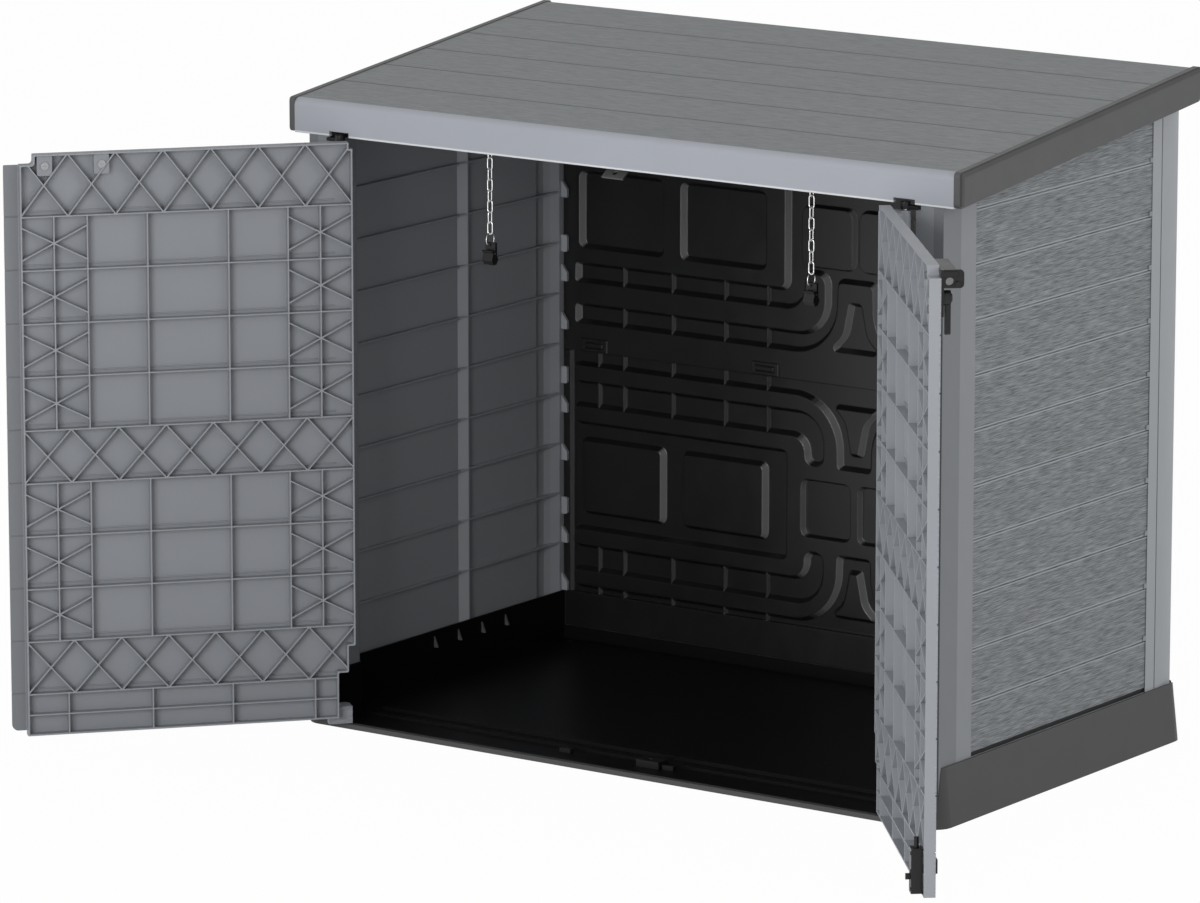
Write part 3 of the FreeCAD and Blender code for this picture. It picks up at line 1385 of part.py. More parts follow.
def door_hangings(name, side):
    """Top bracket let into the post, its pin, and the pin that the door stands on."""
    x = f"{side}*{PIVOT_X}"
    far = f"{POST_IN} + top_plate_reach - fit_gap"
    rise = (PLATE_LOW, f"{PLATE_LOW} + top_plate")
    plate = block(f"{name}_bracket_plate", mirrored(side, PIVOT_X, far),
                  (f"{PIVOT_Y} - arm_radius/2", f"{PIVOT_Y} + arm_radius"), rise)
    tail = block(f"{name}_bracket_tail", mirrored(side, f"{POST_IN} + fit_gap", far),
                 (PIVOT_Y, f"{FRONT} + top_plate_tail - fit_gap"), rise)
    boss = rod(f"{name}_bracket_boss", "arm_radius - 1", "top_plate + top_boss_rise", (x, PIVOT_Y, PLATE_LOW))
    bore = rod(f"{name}_bracket_bore", "pin_radius", "top_plate + top_boss_rise", (x, PIVOT_Y, PLATE_LOW))
    blank = fuse(f"{name}_bracket_blank", plate, tail, boss)
    node(cut(f"{name}_bracket", blank, bore), f"{name}_top_hinge_bracket")
    pin_low = f"({ARM_TOP} - arm_height + arm_cap + pin_lift)"
    pin = rod(f"{name}_top_pin", "pin_radius", f"{PLATE_LOW} + top_plate + top_boss_rise - {pin_low}",
              (x, PIVOT_Y, pin_low))
    node(pin, f"{name}_top_pivot_pin")
    shaft = rod(f"{name}_foot_shaft", "pin_radius", f"{ARM_LOW} - 1 + arm_height - socket_floor - collar_gap",
                (x, PIVOT_Y, "socket_floor + collar_gap"))
    collar = rod(f"{name}_foot_collar", "collar_radius", f"{ARM_LOW} - sill_level - collar_gap",
                 (x, PIVOT_Y, "sill_level + collar_gap"))
    node(fuse(f"{name}_foot_pin", shaft, collar), f"{name}_bottom_pivot_pin")


def chain_link():
    """A stadium-shaped link of round wire, upright in the XZ plane, centred on the origin."""
    wire_radius = value("link_wire") / 2
    bend = value("link_width") / 2 - wire_radius
    half = value("link_inner") / 2 + wire_radius - bend
    section = Part.Wire(Part.makeCircle(wire_radius, Vector(bend, 0, -half), Vector(0, 0, 1)))
    path = Part.Wire([
        Part.makeLine(Vector(bend, 0, -half), Vector(bend, 0, half)),
        Part.Arc(Vector(bend, 0, half), Vector(0, 0, half + bend), Vector(-bend, 0, half)).toShape(),
        Part.makeLine(Vector(-bend, 0, half), Vector(-bend, 0, -half)),
        Part.Arc(Vector(-bend, 0, -half), Vector(0, 0, -half - bend), Vector(bend, 0, -half)).toShape()])
    return path.makePipeShell([section], True, False)


def lid_chain(name, side):
    """Eye under the roof, the links that hang from it, a split ring and a sprung clip."""
    x = side * value("chain_x")
    y = value(CHAIN_Y)
    wire_radius = value("link_wire") / 2
    ring = value("eye_radius")
    half_plate = value("eye_plate") / 2
    thick = value("eye_plate_thick")
    under = roof_under(y - half_plate)
    eye_z = under - 2 * ring - value("eye_stem")
    loop = Part.makeTorus(ring, wire_radius, Vector(x, y, eye_z + ring), Vector(0, 1, 0))
    stem = Part.makeCylinder(wire_radius, value("eye_stem"), Vector(x, y, eye_z + 2 * ring))
    flat = [
        Vector(x - half_plate, y - half_plate, under),
        Vector(x - half_plate, y + half_plate, roof_under(y + half_plate)),
        Vector(x - half_plate, y + half_plate, under - thick),
        Vector(x - half_plate, y - half_plate, under - thick),
    ]
    plate = Part.Face(Part.makePolygon(flat + flat[:1])).extrude(Vector(2 * half_plate, 0, 0))
    node(feature(f"{name}_eye", loop.multiFuse([stem, plate])), f"{name}_chain_eye")
    pitch = value("link_inner - link_gap")
    top = eye_z + value("link_gap - link_inner/2") + wire_radius
    links = []
    count = 2 * int(value("chain_link_pairs"))
    for index in range(count):
        link = chain_link()
        if index % 2 == 0:
            link.rotate(Vector(), Vector(0, 0, 1), 90)
        link.translate(Vector(x, y, top - index * pitch))
        links.append(link)
    node(feature(f"{name}_links", Part.makeCompound(links)), f"{name}_chain")
    split = value("ring_radius")
    last = top - (count - 1) * pitch - value("link_inner/2 - link_gap - ring_wire/2")
    ring_shape = Part.makeTorus(split, value("ring_wire/2"), Vector(x, y, last - split), Vector(1, 0, 0))
    node(feature(f"{name}_ring", ring_shape), f"{name}_split_ring")
    print(name, "chain hangs at", round(x, 3), round(y, 3), round(eye_z, 3))
    spring_clip(name, x, y, last - 2 * split)


def cross_rod(radius, length, start, level):
    """A round bar along Y at a height, from a start on Y."""
    return Part.makeCylinder(radius, length, Vector(0, start, level), Vector(0, 1, 0))


def spring_clip(name, x, y, level):
    """A sprung peg: one jaw hangs from the split ring at a level, the other turns on a cross pin."""
    wide = value("clip_width")
    thick = value("clip_plate")
    gap = value("fit_gap")
    swell = value("clip_swell")
    lip = value("clip_lip")
    heel = value("clip_heel")
    wire_radius = value("ring_wire") / 2
    pin_radius = value("clip_pin_radius")
    ear = value("clip_ear_radius")
    arch = value("ring_radius") - math.sqrt(value("ring_radius") ** 2 - thick ** 2)
    sill = level - wire_radius - gap
    window = 2 * wire_radius + arch + 2 * gap
    top = sill + window + value("clip_crown")
    tip = top - value("clip_length")
    pin_z = top - value("clip_pin_drop")
    half = gap / 2
    back = half + thick
    fixed = prism([
        (half, top, 2), (back, top, 2), (back, pin_z - ear, 2), (back + swell, pin_z - 2 * heel, 3),
        (half + lip, tip, 1.5), (half, tip + lip, 1)], wide)
    moving = prism([
        (-half - heel, pin_z + heel, 1.5), (-half, pin_z + 1, 1), (-half, tip + lip, 1),
        (-half - lip, tip, 1.5), (-back - swell, pin_z - 2 * heel, 3), (-back, pin_z + 1, 2),
        (-back - heel, pin_z + heel, 1.5)], wide)
    hole = Part.makeBox(thick + 2, 2 * (wire_radius + gap), window,
                        Vector(half - 1, -wire_radius - gap, sill))
    third = wide / 3
    middle = cross_rod(ear, third - 2 * gap, -third / 2 + gap, pin_z)
    room = cross_rod(ear + gap, third, -third / 2, pin_z)
    ends = [cross_rod(ear, third, start, pin_z) for start in (-wide / 2, third / 2)]
    end_rooms = [cross_rod(ear + gap, third + gap, start, pin_z) for start in (-wide / 2, third / 2 - gap)]
    pin = cross_rod(pin_radius, wide, -wide / 2, pin_z)
    fixed = fixed.cut(hole).cut(room).multiFuse(ends).cut(pin)
    bore = cross_rod(pin_radius + value("running_gap"), wide, -wide / 2, pin_z)
    moving = moving.cut(end_rooms).fuse(middle).cut(bore)
    print(name, "clip pin at", round(x, 3), round(y, 3), round(pin_z, 3))
    for label, shape in (("clip_body", fixed), ("clip_jaw", moving), ("clip_pin", pin)):
        piece = feature(f"{name}_{label}_solid", shape)
        piece.Placement = Placement(Vector(x, y, 0), Rotation(Vector(0, 0, 1), 90))
        node(piece, f"{name}_{label}")


base_tray()
upper_back_panel()
lower_back_panel()
back_panel_latches()
lid_panel()
lid_hinges()
lid_staple()
for name, side in SIDES.items():
    side_panel(name, side)
    end_cap(name, side)
    door(name, side)
    door_hangings(name, side)
    lid_chain(name, side)
hasp_bracket()
door_screws("left_hasp_screws", -1, hasp_spots(), "hasp_plate")
lock_block()
door_screws("right_lock_screws", 1, lock_spots(), "lock_plate")
latch_lever()
drop_bolt()
sill_fittings()

doc.recompute()
for thing in doc.Objects:
    if "Invalid" in thing.State or "Error" in thing.State:
        raise RuntimeError(f"{thing.Name} failed: {thing.State}")
for thing in NODES:
    if thing.Shape.isNull() or not thing.Shape.isValid():
        raise RuntimeError(f"{thing.Label} has no valid shape")
os.makedirs("parts", exist_ok=True)
for thing in NODES:
    thing.Shape.exportStep(f"parts/{thing.Label}.step")
    print(thing.Label, len(thing.Shape.Solids), round(thing.Shape.Volume))
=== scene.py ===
import math

import bpy
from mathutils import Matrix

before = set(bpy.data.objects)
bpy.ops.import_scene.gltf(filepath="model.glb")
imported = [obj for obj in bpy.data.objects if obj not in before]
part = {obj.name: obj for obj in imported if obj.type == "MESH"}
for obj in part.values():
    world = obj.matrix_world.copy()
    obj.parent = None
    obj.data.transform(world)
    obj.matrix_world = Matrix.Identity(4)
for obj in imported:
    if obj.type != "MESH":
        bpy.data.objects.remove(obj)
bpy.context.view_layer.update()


# Base tray
# One dark injection-moulded tray carries everything: its flared skirt stands on the ground, slots in
# its kerbs take the walls, and its floor is a polished tread that the bins roll on to. The inside of
# the tray is painted near black: painted shade over the dark moulding.
def moulded_resin(name, colour, roughness, edge=0.0012, grit=0.05, mottle=0.06, uneven=0.08):
    """Moulded polypropylene: a fine spark-eroded skin, faint flow marks and softened edges."""
    material = bpy.data.materials.new(name)
    material.use_nodes = True
    tree = material.node_tree
    shader = tree.nodes["Principled BSDF"]
    shader.inputs["IOR"].default_value = 1.49

    place = tree.nodes.new("ShaderNodeTexCoord")
    place.name = "place"
    flow = tree.nodes.new("ShaderNodeTexNoise")
    flow.inputs["Scale"].default_value = 4.0
    flow.inputs["Detail"].default_value = 4.0
    tree.links.new(place.outputs["Object"], flow.inputs["Vector"])
    tint = tree.nodes.new("ShaderNodeMix")
    tint.data_type = "RGBA"
    tint.inputs["A"].default_value = (*[c * (1 - mottle) for c in colour], 1)
    tint.inputs["B"].default_value = (*[c * (1 + mottle) for c in colour], 1)
    tree.links.new(flow.outputs["Fac"], tint.inputs["Factor"])
    tree.links.new(tint.outputs["Result"], shader.inputs["Base Color"])

    rub = tree.nodes.new("ShaderNodeTexNoise")
    rub.inputs["Scale"].default_value = 22.0
    rub.inputs["Detail"].default_value = 5.0
    tree.links.new(place.outputs["Object"], rub.inputs["Vector"])
    polish = tree.nodes.new("ShaderNodeMapRange")
    polish.inputs["To Min"].default_value = roughness - uneven
    polish.inputs["To Max"].default_value = roughness + uneven
    tree.links.new(rub.outputs["Fac"], polish.inputs["Value"])
    tree.links.new(polish.outputs["Result"], shader.inputs["Roughness"])

    soft_edge = tree.nodes.new("ShaderNodeBevel")
    soft_edge.samples = 4
    soft_edge.inputs["Radius"].default_value = edge
    skin = tree.nodes.new("ShaderNodeTexNoise")
    skin.inputs["Scale"].default_value = 700.0
    skin.inputs["Detail"].default_value = 1.0
    tree.links.new(place.outputs["Object"], skin.inputs["Vector"])
    stipple = tree.nodes.new("ShaderNodeBump")
    stipple.inputs["Strength"].default_value = grit
    stipple.inputs["Distance"].default_value = 0.0005
    tree.links.new(skin.outputs["Fac"], stipple.inputs["Height"])
    tree.links.new(soft_edge.outputs["Normal"], stipple.inputs["Normal"])
    tree.links.new(stipple.outputs["Normal"], shader.inputs["Normal"])
    return material


def area(material, *limits):
    """A mask over the part of a piece inside all its limits.

    Each limit is a direction, the lowest and highest distance along it, and sometimes a fold: where to
    start and how far to go before turning back, which mirrors or repeats the band.
    """
    tree = material.node_tree
    mask = None
    for direction, low, high, *fold in limits:
        reach = tree.nodes.new("ShaderNodeVectorMath")
        reach.operation = "DOT_PRODUCT"
        reach.inputs[1].default_value = direction
        tree.links.new(tree.nodes["place"].outputs["Object"], reach.inputs[0])
        distance = reach.outputs["Value"]
        if fold:
            shift = tree.nodes.new("ShaderNodeMath")
            shift.operation = "SUBTRACT"
            shift.inputs[1].default_value = fold[0]
            tree.links.new(distance, shift.inputs[0])
            turn_back = tree.nodes.new("ShaderNodeMath")
            turn_back.operation = "PINGPONG"
            turn_back.inputs[1].default_value = fold[1]
            tree.links.new(shift.outputs["Value"], turn_back.inputs[0])
            distance = turn_back.outputs["Value"]
        inside = tree.nodes.new("ShaderNodeMath")
        inside.operation = "COMPARE"
        inside.inputs[1].default_value = (low + high) / 2
        inside.inputs[2].default_value = (high - low) / 2
        tree.links.new(distance, inside.inputs[0])
        if mask is None:
            mask = inside.outputs["Value"]
        else:
            both = tree.nodes.new("ShaderNodeMath")
            both.operation = "MULTIPLY"
            tree.links.new(mask, both.inputs[0])
            tree.links.new(inside.outputs["Value"], both.inputs[1])
            mask = both.outputs["Value"]
    return mask


def recolour(material, mask, colour, roughness=None):
    """Give the masked part of a moulding its own colour and polish, or paint light or shade on it."""
    tree = material.node_tree
    shader = tree.nodes["Principled BSDF"]
    change = tree.nodes.new("ShaderNodeMix")
    change.data_type = "RGBA"
    tree.links.new(shader.inputs["Base Color"].links[0].from_socket, change.inputs["A"])
    change.inputs["B"].default_value = (*colour, 1)
    tree.links.new(mask, change.inputs["Factor"])
    tree.links.new(change.outputs["Result"], shader.inputs["Base Color"])
    if roughness is not None:
        gloss = tree.nodes.new("ShaderNodeMix")
        tree.links.new(shader.inputs["Roughness"].links[0].from_socket, gloss.inputs["A"])
        gloss.inputs["B"].default_value = roughness
        tree.links.new(mask, gloss.inputs["Factor"])
        tree.links.new(gloss.outputs["Result"], shader.inputs["Roughness"])


def finish_with(material, *names):
    """Give CAD nodes one finish."""
    for name in names:
        part[name].data.materials.clear()
        part[name].data.materials.append(material)


ACROSS, BACK, UP = (1, 0, 0), (0, 1, 0), (0, 0, 1)
BOTH_SIDES = (0.0, 10.0)
SHADED_TRAY_INSIDE = ((ACROSS, 0.0, 0.6705, *BOTH_SIDES), (BACK, -0.404, 0.3695), (UP, 0.005, 0.2))
GUSSET_HIGHLIGHTS = ((ACROSS, 0.655, 0.6647, *BOTH_SIDES), (UP, 0.075, 0.103))
BASE_SPECULAR = 0.17
base_dark = moulded_resin("base_dark", colour=(0.08, 0.08, 0.082), roughness=0.48)
shader = base_dark.node_tree.nodes["Principled BSDF"]
shader.inputs["Specular IOR Level"].default_value = BASE_SPECULAR
# Painted shade: the inside of the tray is painted near black; its lower roughness is the tread's own
# polish.
recolour(base_dark, area(base_dark, *SHADED_TRAY_INSIDE), colour=(0.004, 0.004, 0.0045), roughness=0.36)
# Painted highlight: a band on the kerbs' inner faces at the gussets is painted paler.
recolour(base_dark, area(base_dark, *GUSSET_HIGHLIGHTS), colour=(0.1, 0.1, 0.102))
finish_with(base_dark, "base_tray")


# Side panels
# Each wall is one grey moulding with its front post: planks with a pressed wood grain outside,
# open ribs inside, and smooth strips along the post and the rear edge.
def wood_grain(material, mask, stretch, contrast, depth, turn=0.0, waver=0.6, detail=5.0):
    """A pressed wood grain on the masked part: long fibres that darken and emboss the skin."""
    tree = material.node_tree
    shader = tree.nodes["Principled BSDF"]
    lay = tree.nodes.new("ShaderNodeMapping")
    lay.inputs["Rotation"].default_value = (0, 0, turn)
    lay.inputs["Scale"].default_value = stretch
    tree.links.new(tree.nodes["place"].outputs["Object"], lay.inputs["Vector"])
    fibre = tree.nodes.new("ShaderNodeTexNoise")
    fibre.inputs["Scale"].default_value = 1.0
    fibre.inputs["Detail"].default_value = detail
    fibre.inputs["Roughness"].default_value = 0.65
    fibre.inputs["Distortion"].default_value = waver
    tree.links.new(lay.outputs["Vector"], fibre.inputs["Vector"])
    streak = tree.nodes.new("ShaderNodeMapRange")
    streak.inputs["From Min"].default_value = 0.3
    streak.inputs["From Max"].default_value = 0.7
    streak.inputs["To Min"].default_value = 1 - contrast
    streak.inputs["To Max"].default_value = 1 + contrast
    tree.links.new(fibre.outputs["Fac"], streak.inputs["Value"])
    shade = tree.nodes.new("ShaderNodeMix")
    shade.data_type = "RGBA"
    shade.blend_type = "MULTIPLY"
    tree.links.new(mask, shade.inputs["Factor"])
    tree.links.new(shader.inputs["Base Color"].links[0].from_socket, shade.inputs["A"])
    tree.links.new(streak.outputs["Result"], shade.inputs["B"])
    tree.links.new(shade.outputs["Result"], shader.inputs["Base Color"])
    emboss = tree.nodes.new("ShaderNodeBump")
    emboss.inputs["Distance"].default_value = depth
    tree.links.new(mask, emboss.inputs["Strength"])
    tree.links.new(fibre.outputs["Fac"], emboss.inputs["Height"])
    tree.links.new(shader.inputs["Normal"].links[0].from_socket, emboss.inputs["Normal"])
    tree.links.new(emboss.outputs["Normal"], shader.inputs["Normal"])


FIRST_GROOVE = 1.0864
PLANK_PITCH = 0.0981
INNER_SKIN = (ACROSS, 0.655, 0.6795, *BOTH_SIDES)
PLANK_RUN = (BACK, -0.2965, 0.2965)
PLANK_FIELD = ((ACROSS, 0.682, 0.6862, *BOTH_SIDES), PLANK_RUN)
LIT_GROOVE_LIPS = (UP, 0.0015, 0.0036, FIRST_GROOVE, PLANK_PITCH / 2)
POST = ((ACROSS, 0.667, 0.69, *BOTH_SIDES), (BACK, -0.41, -0.345))
REAR_STRIP = ((ACROSS, 0.675, 0.69, *BOTH_SIDES), (BACK, 0.2967, 0.403))
FOOT_GAP_SHADE = ((ACROSS, 0.679, 0.6849, *BOTH_SIDES), PLANK_RUN, (UP, 0.1, 0.1165))
LIT_BEHIND_POST = (BACK, -0.33, 0.37)
LIT_MIDDLE_BAND = (BACK, 0.036, 0.0612)
LIT_REAR_BAND = (BACK, 0.32, 0.3582)
wall_grey = moulded_resin("wall_grey", colour=(0.235, 0.247, 0.262), roughness=0.52)
recolour(wall_grey, area(wall_grey, *POST), colour=(0.175, 0.185, 0.196))
# Painted light: the inner skin is painted paler behind the post, and paler still on the middle and
# rear bands where light catches them.
for run, grey in ((LIT_BEHIND_POST, (0.29, 0.304, 0.324)), (LIT_MIDDLE_BAND, (0.43, 0.45, 0.475)),
                  (LIT_REAR_BAND, (0.36, 0.377, 0.4))):
    recolour(wall_grey, area(wall_grey, INNER_SKIN, run), colour=grey)
planks = area(wall_grey, *PLANK_FIELD)
recolour(wall_grey, planks, colour=(0.19, 0.204, 0.214), roughness=0.6)
wood_grain(wall_grey, planks, stretch=(120.0, 26.0, 640.0), contrast=0.62, depth=0.0014,
           waver=0.12, detail=2.0)
# Painted highlight: the lips along each plank groove are painted pale where they catch the light.
recolour(wall_grey, area(wall_grey, *PLANK_FIELD, LIT_GROOVE_LIPS), colour=(0.36, 0.38, 0.4))
recolour(wall_grey, area(wall_grey, *REAR_STRIP), colour=(0.32, 0.336, 0.356))
# Painted shade: the recess between the planks and the base is painted near black.
recolour(wall_grey, area(wall_grey, *FOOT_GAP_SHADE), colour=(0.008, 0.008, 0.009))
finish_with(wall_grey, "left_side_panel", "right_side_panel")

# Back panels
# Two deep-drawn black panels with a satin shine, clipped together at the seam, close the rear. The
# drawn walls that look to the right are painted paler: a painted highlight.
TURNED_RIGHT = (0.3, 0.6)
panel_black = moulded_resin("panel_black", colour=(0.007, 0.007, 0.0075), roughness=0.32, edge=0.003)
tree = panel_black.node_tree
facing = tree.nodes.new("ShaderNodeNewGeometry")
turned = tree.nodes.new("ShaderNodeSeparateXYZ")
tree.links.new(facing.outputs["True Normal"], turned.inputs["Vector"])
drawn_wall_highlight = tree.nodes.new("ShaderNodeMapRange")
drawn_wall_highlight.inputs["From Min"].default_value = TURNED_RIGHT[0]
drawn_wall_highlight.inputs["From Max"].default_value = TURNED_RIGHT[1]
tree.links.new(turned.outputs["X"], drawn_wall_highlight.inputs["Value"])
# Painted highlight: the drawn walls that face the right are painted paler.
recolour(panel_black, drawn_wall_highlight.outputs["Result"], colour=(0.15, 0.15, 0.154))
finish_with(panel_black, "lower_back_panel", "upper_back_panel", "back_panel_latches")

# Lid
# The roof is a grey moulding with six grained planks on top and a smooth, paler fascia in front, whose
# lower lip catches the light. A darker cap with black beads closes each end.
ROOF_SLOPE = math.tan(math.radians(6))
ROOF_EDGE_Y = -0.412
ROOF_EDGE_Z = 1.168
ROOF_RISE = ROOF_EDGE_Z - ROOF_EDGE_Y * ROOF_SLOPE
ROOF_FACE = ((0, -ROOF_SLOPE, 1), ROOF_RISE - 0.005, ROOF_RISE + 0.01)
ROOF_PLANK_PITCH = 0.1298
FIRST_ROOF_LINE = -0.398
ROOF_LINES = ((BACK, -0.38, 0.37), (BACK, 0.0, 0.003, FIRST_ROOF_LINE, ROOF_PLANK_PITCH / 2))
FASCIA_LIP = ((UP, 1.1, 1.1092), (BACK, -0.42, -0.4))
CAP_BEADS = (ACROSS, 0.7252, 0.73, *BOTH_SIDES)
roof_grey = moulded_resin("roof_grey", colour=(0.33, 0.345, 0.385), roughness=0.45)
roof_top = area(roof_grey, ROOF_FACE, (BACK, -0.399, 0.4))
recolour(roof_grey, roof_top, colour=(0.192, 0.204, 0.211), roughness=0.6)
wood_grain(roof_grey, roof_top, stretch=(28.0, 330.0, 330.0), contrast=0.3, depth=0.0008)
recolour(roof_grey, area(roof_grey, ROOF_FACE, *ROOF_LINES), colour=(0.125, 0.133, 0.138))
# Painted highlight: the fascia's lower lip is painted pale where it catches the light.
recolour(roof_grey, area(roof_grey, *FASCIA_LIP), colour=(0.62, 0.635, 0.655))
finish_with(roof_grey, "lid_panel")
cap_grey = moulded_resin("cap_grey", colour=(0.068, 0.069, 0.071), roughness=0.5)
recolour(cap_grey, area(cap_grey, CAP_BEADS), colour=(0.035, 0.035, 0.036))
finish_with(cap_grey, "left_lid_end_cap", "right_lid_end_cap")

# Doors
# Grey mouldings like the walls: a grained plank face outside, and an open lattice of thin ribs inside
# whose top edges are painted paler, a painted highlight. The strip along the free edge is in shade.
DOOR_SWING = math.radians(131)
PIVOT_X = 0.612
PIVOT_Y = -0.408
COVER_STRIP = (0.6, 0.63)
RIB_TOPS = (0.0445, 0.05)
OUTER_FACE = (0.02, 0.0275)
RIB_HIGHLIGHT = 1.15
SHADED = 0.74
# Painted light: both doors are one resin, given a darker grey on the left door and a paler one on the
# right.
for name, side, grey in (("left_door", -1, (0.222, 0.233, 0.252)),
                         ("right_door", 1, (0.275, 0.289, 0.312))):
    inward = (-side * math.sin(DOOR_SWING), math.cos(DOOR_SWING), 0.0)
    along = (-side * math.cos(DOOR_SWING), -math.sin(DOOR_SWING), 0.0)
    pivot_depth = side * PIVOT_X * inward[0] + PIVOT_Y * inward[1]
    pivot_place = side * PIVOT_X * along[0] + PIVOT_Y * along[1]
    door_grey = moulded_resin(f"{name}_grey", colour=grey, roughness=0.5)
    # Painted highlight: the rib tops are painted paler than the rest of the door.
    rib_tops = area(door_grey, (inward, *[pivot_depth + d for d in RIB_TOPS]))
    recolour(door_grey, rib_tops, colour=[c * RIB_HIGHLIGHT for c in grey])
    strip = area(door_grey, (along, *[pivot_place + d for d in COVER_STRIP]))
    recolour(door_grey, strip, colour=[c * SHADED for c in grey])
    outside = area(door_grey, (inward, *[pivot_depth + d for d in OUTER_FACE]))
    wood_grain(door_grey, outside, stretch=(22.0, 60.0, 420.0), contrast=0.3, depth=0.0012,
               turn=-side * DOOR_SWING)
    finish_with(door_grey, name)

# Fittings
# Latch, hinge and bolt parts are small black mouldings, held by cross-head screws. The lid's staple is
# a greyer strap.
FITTING_SPECULAR = 0.32
fitting_black = moulded_resin("fitting_black", colour=(0.01, 0.01, 0.011), roughness=0.34)
shader = fitting_black.node_tree.nodes["Principled BSDF"]
shader.inputs["Specular IOR Level"].default_value = FITTING_SPECULAR
finish_with(fitting_black, "bolt_keeper", "door_stops", "lid_hinge_brackets",
            "left_top_hinge_bracket", "right_top_hinge_bracket", "left_hasp_bracket", "lock_block",
            "latch_lever", "bolt_housing", "bolt_rod", "bolt_backing_tab", "left_clip_body",
            "right_clip_body", "left_clip_jaw", "right_clip_jaw")
staple_grey = moulded_resin("staple_grey", colour=(0.09, 0.09, 0.092), roughness=0.45)
finish_with(staple_grey, "lid_staple")


# Screws, pins and chains
# The hasp's and the lock's screws are dull zinc; the bolt's screws and the lever's stud are blackened
# steel. Pins, eyes, rings and the welded chain links are bright zinc plate.
def plated_steel(name, colour, roughness, spread, thin_plate=0.8):
    """Plated steel: metal with a cloudy, slightly uneven polish."""
    material = bpy.data.materials.new(name)
    material.use_nodes = True
    tree = material.node_tree
    shader = tree.nodes["Principled BSDF"]
    shader.inputs["Metallic"].default_value = 1.0
    place = tree.nodes.new("ShaderNodeTexCoord")
    cloud = tree.nodes.new("ShaderNodeTexNoise")
    cloud.inputs["Scale"].default_value = 160.0
    cloud.inputs["Detail"].default_value = 4.0
    tree.links.new(place.outputs["Object"], cloud.inputs["Vector"])
    plate = tree.nodes.new("ShaderNodeMix")
    plate.data_type = "RGBA"
    plate.inputs["A"].default_value = (*[c * thin_plate for c in colour], 1)
    plate.inputs["B"].default_value = (*colour, 1)
    tree.links.new(cloud.outputs["Fac"], plate.inputs["Factor"])
    tree.links.new(plate.outputs["Result"], shader.inputs["Base Color"])
    polish = tree.nodes.new("ShaderNodeMapRange")
    polish.inputs["To Min"].default_value = roughness - spread
    polish.inputs["To Max"].default_value = roughness + spread
    tree.links.new(cloud.outputs["Fac"], polish.inputs["Value"])
    tree.links.new(polish.outputs["Result"], shader.inputs["Roughness"])
    return material


black_oxide = plated_steel("black_oxide", colour=(0.06, 0.06, 0.065), roughness=0.42, spread=0.1)
finish_with(black_oxide, "bolt_screws", "lever_stud")
dull_zinc = plated_steel("dull_zinc", colour=(0.42, 0.43, 0.44), roughness=0.45, spread=0.1)
finish_with(dull_zinc, "left_hasp_screws", "right_lock_screws")
bright_zinc = plated_steel("bright_zinc", colour=(0.95, 0.95, 0.95), roughness=0.3, spread=0.12)
finish_with(bright_zinc, "lid_hinge_pins")
for hand in ("left", "right"):
    for piece in ("chain", "split_ring", "chain_eye", "top_pivot_pin", "bottom_pivot_pin", "clip_pin"):
        finish_with(bright_zinc, f"{hand}_{piece}")


# Studio
# A pale floor, a soft sky and two large lamps, seen with a long lens from the front right. Camera and
# reflections see floor and sky as plain white, which doesn't light the object.
scene = bpy.context.scene
scene.view_settings.view_transform = "Standard"

IMAGE = (1200, 903)
FOCAL_PIXELS = 7377.8
OPTICAL_CENTRE = (598.06, 454.58)
SENSOR_WIDTH = 36.0
AIM = (-0.1313, -0.2751, 0.55)
AZIMUTH = 35.217
ELEVATION = 11.815
DISTANCE = 13.379

lens = bpy.data.cameras.new("camera")
lens.sensor_width = SENSOR_WIDTH
lens.lens = FOCAL_PIXELS / IMAGE[0] * SENSOR_WIDTH
lens.shift_x = (IMAGE[0] / 2 - OPTICAL_CENTRE[0]) / IMAGE[0]
lens.shift_y = (OPTICAL_CENTRE[1] - IMAGE[1] / 2) / IMAGE[0]
lens.clip_end = 100.0
camera = bpy.data.objects.new("camera", lens)
around = math.radians(AZIMUTH)
above = math.radians(ELEVATION)
camera.location = (AIM[0] + DISTANCE * math.sin(around) * math.cos(above),
                   AIM[1] - DISTANCE * math.cos(around) * math.cos(above),
                   AIM[2] + DISTANCE * math.sin(above))
camera.rotation_euler = (math.pi / 2 - above, 0, around)
scene.collection.objects.link(camera)
scene.camera = camera


def seen_directly(tree, share):
    """The share of plain white that the camera and reflections see, and diffuse light doesn't."""
    paths = tree.nodes.new("ShaderNodeLightPath")
    total = None
    for ray in ("Is Camera Ray", "Is Glossy Ray", "Is Transmission Ray"):
        add = tree.nodes.new("ShaderNodeMath")
        add.operation = "ADD"
        add.use_clamp = True
        tree.links.new(paths.outputs[ray], add.inputs[0])
        if total is not None:
            tree.links.new(total, add.inputs[1])
        else:
            add.inputs[1].default_value = 0.0
        total = add.outputs["Value"]
    part_of = tree.nodes.new("ShaderNodeMath")
    part_of.operation = "MULTIPLY"
    part_of.inputs[1].default_value = share
    tree.links.new(total, part_of.inputs[0])
    return part_of.outputs["Value"]


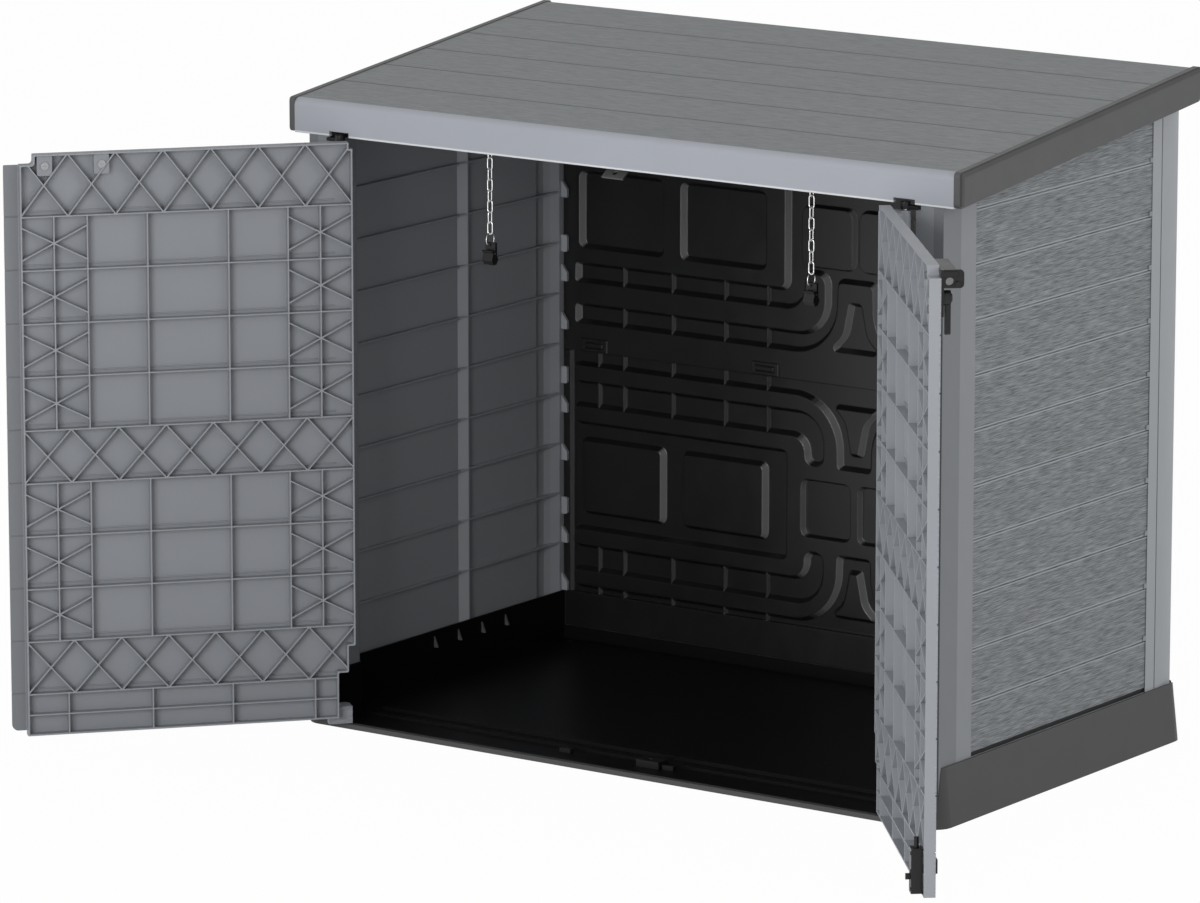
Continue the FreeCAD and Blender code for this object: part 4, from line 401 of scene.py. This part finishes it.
SKY_STRENGTH = 0.55
SKY_WHITE = 1.0
FLOOR_WHITE = 0.975
FLOOR_SIZE = 60.0
world = bpy.data.worlds.new("studio_sky")
world.use_nodes = True
tree = world.node_tree
sky = tree.nodes["Background"]
sky.inputs["Color"].default_value = (1, 1, 1, 1)
sky.inputs["Strength"].default_value = SKY_STRENGTH
white = tree.nodes.new("ShaderNodeBackground")
blend = tree.nodes.new("ShaderNodeMixShader")
tree.links.new(seen_directly(tree, SKY_WHITE), blend.inputs["Fac"])
tree.links.new(sky.outputs["Background"], blend.inputs[1])
tree.links.new(white.outputs["Background"], blend.inputs[2])
tree.links.new(blend.outputs["Shader"], tree.nodes["World Output"].inputs["Surface"])
scene.world = world


def lamp(name, power, size, place, aim):
    """A square softbox turned towards a point."""
    light = bpy.data.lights.new(name, "AREA")
    light.energy = power
    light.size = size
    thing = bpy.data.objects.new(name, light)
    thing.location = place
    gap = [a - p for a, p in zip(aim, place)]
    thing.rotation_euler = (math.pi / 2 + math.atan2(gap[2], math.hypot(gap[0], gap[1])), 0,
                            math.atan2(gap[1], gap[0]) - math.pi / 2)
    scene.collection.objects.link(thing)


lamp("front_softbox", power=222.0, size=3.0, place=(0.8, -7.0, 2.0), aim=(0, -0.3, 0.6))
lamp("right_softbox", power=92.0, size=3.0, place=(6.5, 0.2, 3.0), aim=(0.4, 0, 0.6))

bpy.ops.object.select_all(action="DESELECT")
bpy.ops.mesh.primitive_plane_add(size=FLOOR_SIZE, location=(0, 0, 0))
floor = bpy.context.active_object
floor.name = "floor"
pale = bpy.data.materials.new("pale_floor")
pale.use_nodes = True
tree = pale.node_tree
shader = tree.nodes["Principled BSDF"]
shader.inputs["Base Color"].default_value = (0.85, 0.85, 0.85, 1)
shader.inputs["Roughness"].default_value = 0.9
glow = tree.nodes.new("ShaderNodeEmission")
blend = tree.nodes.new("ShaderNodeMixShader")
tree.links.new(seen_directly(tree, FLOOR_WHITE), blend.inputs["Fac"])
tree.links.new(shader.outputs["BSDF"], blend.inputs[1])
tree.links.new(glow.outputs["Emission"], blend.inputs[2])
tree.links.new(blend.outputs["Shader"], tree.nodes["Material Output"].inputs["Surface"])
floor.data.materials.append(pale)
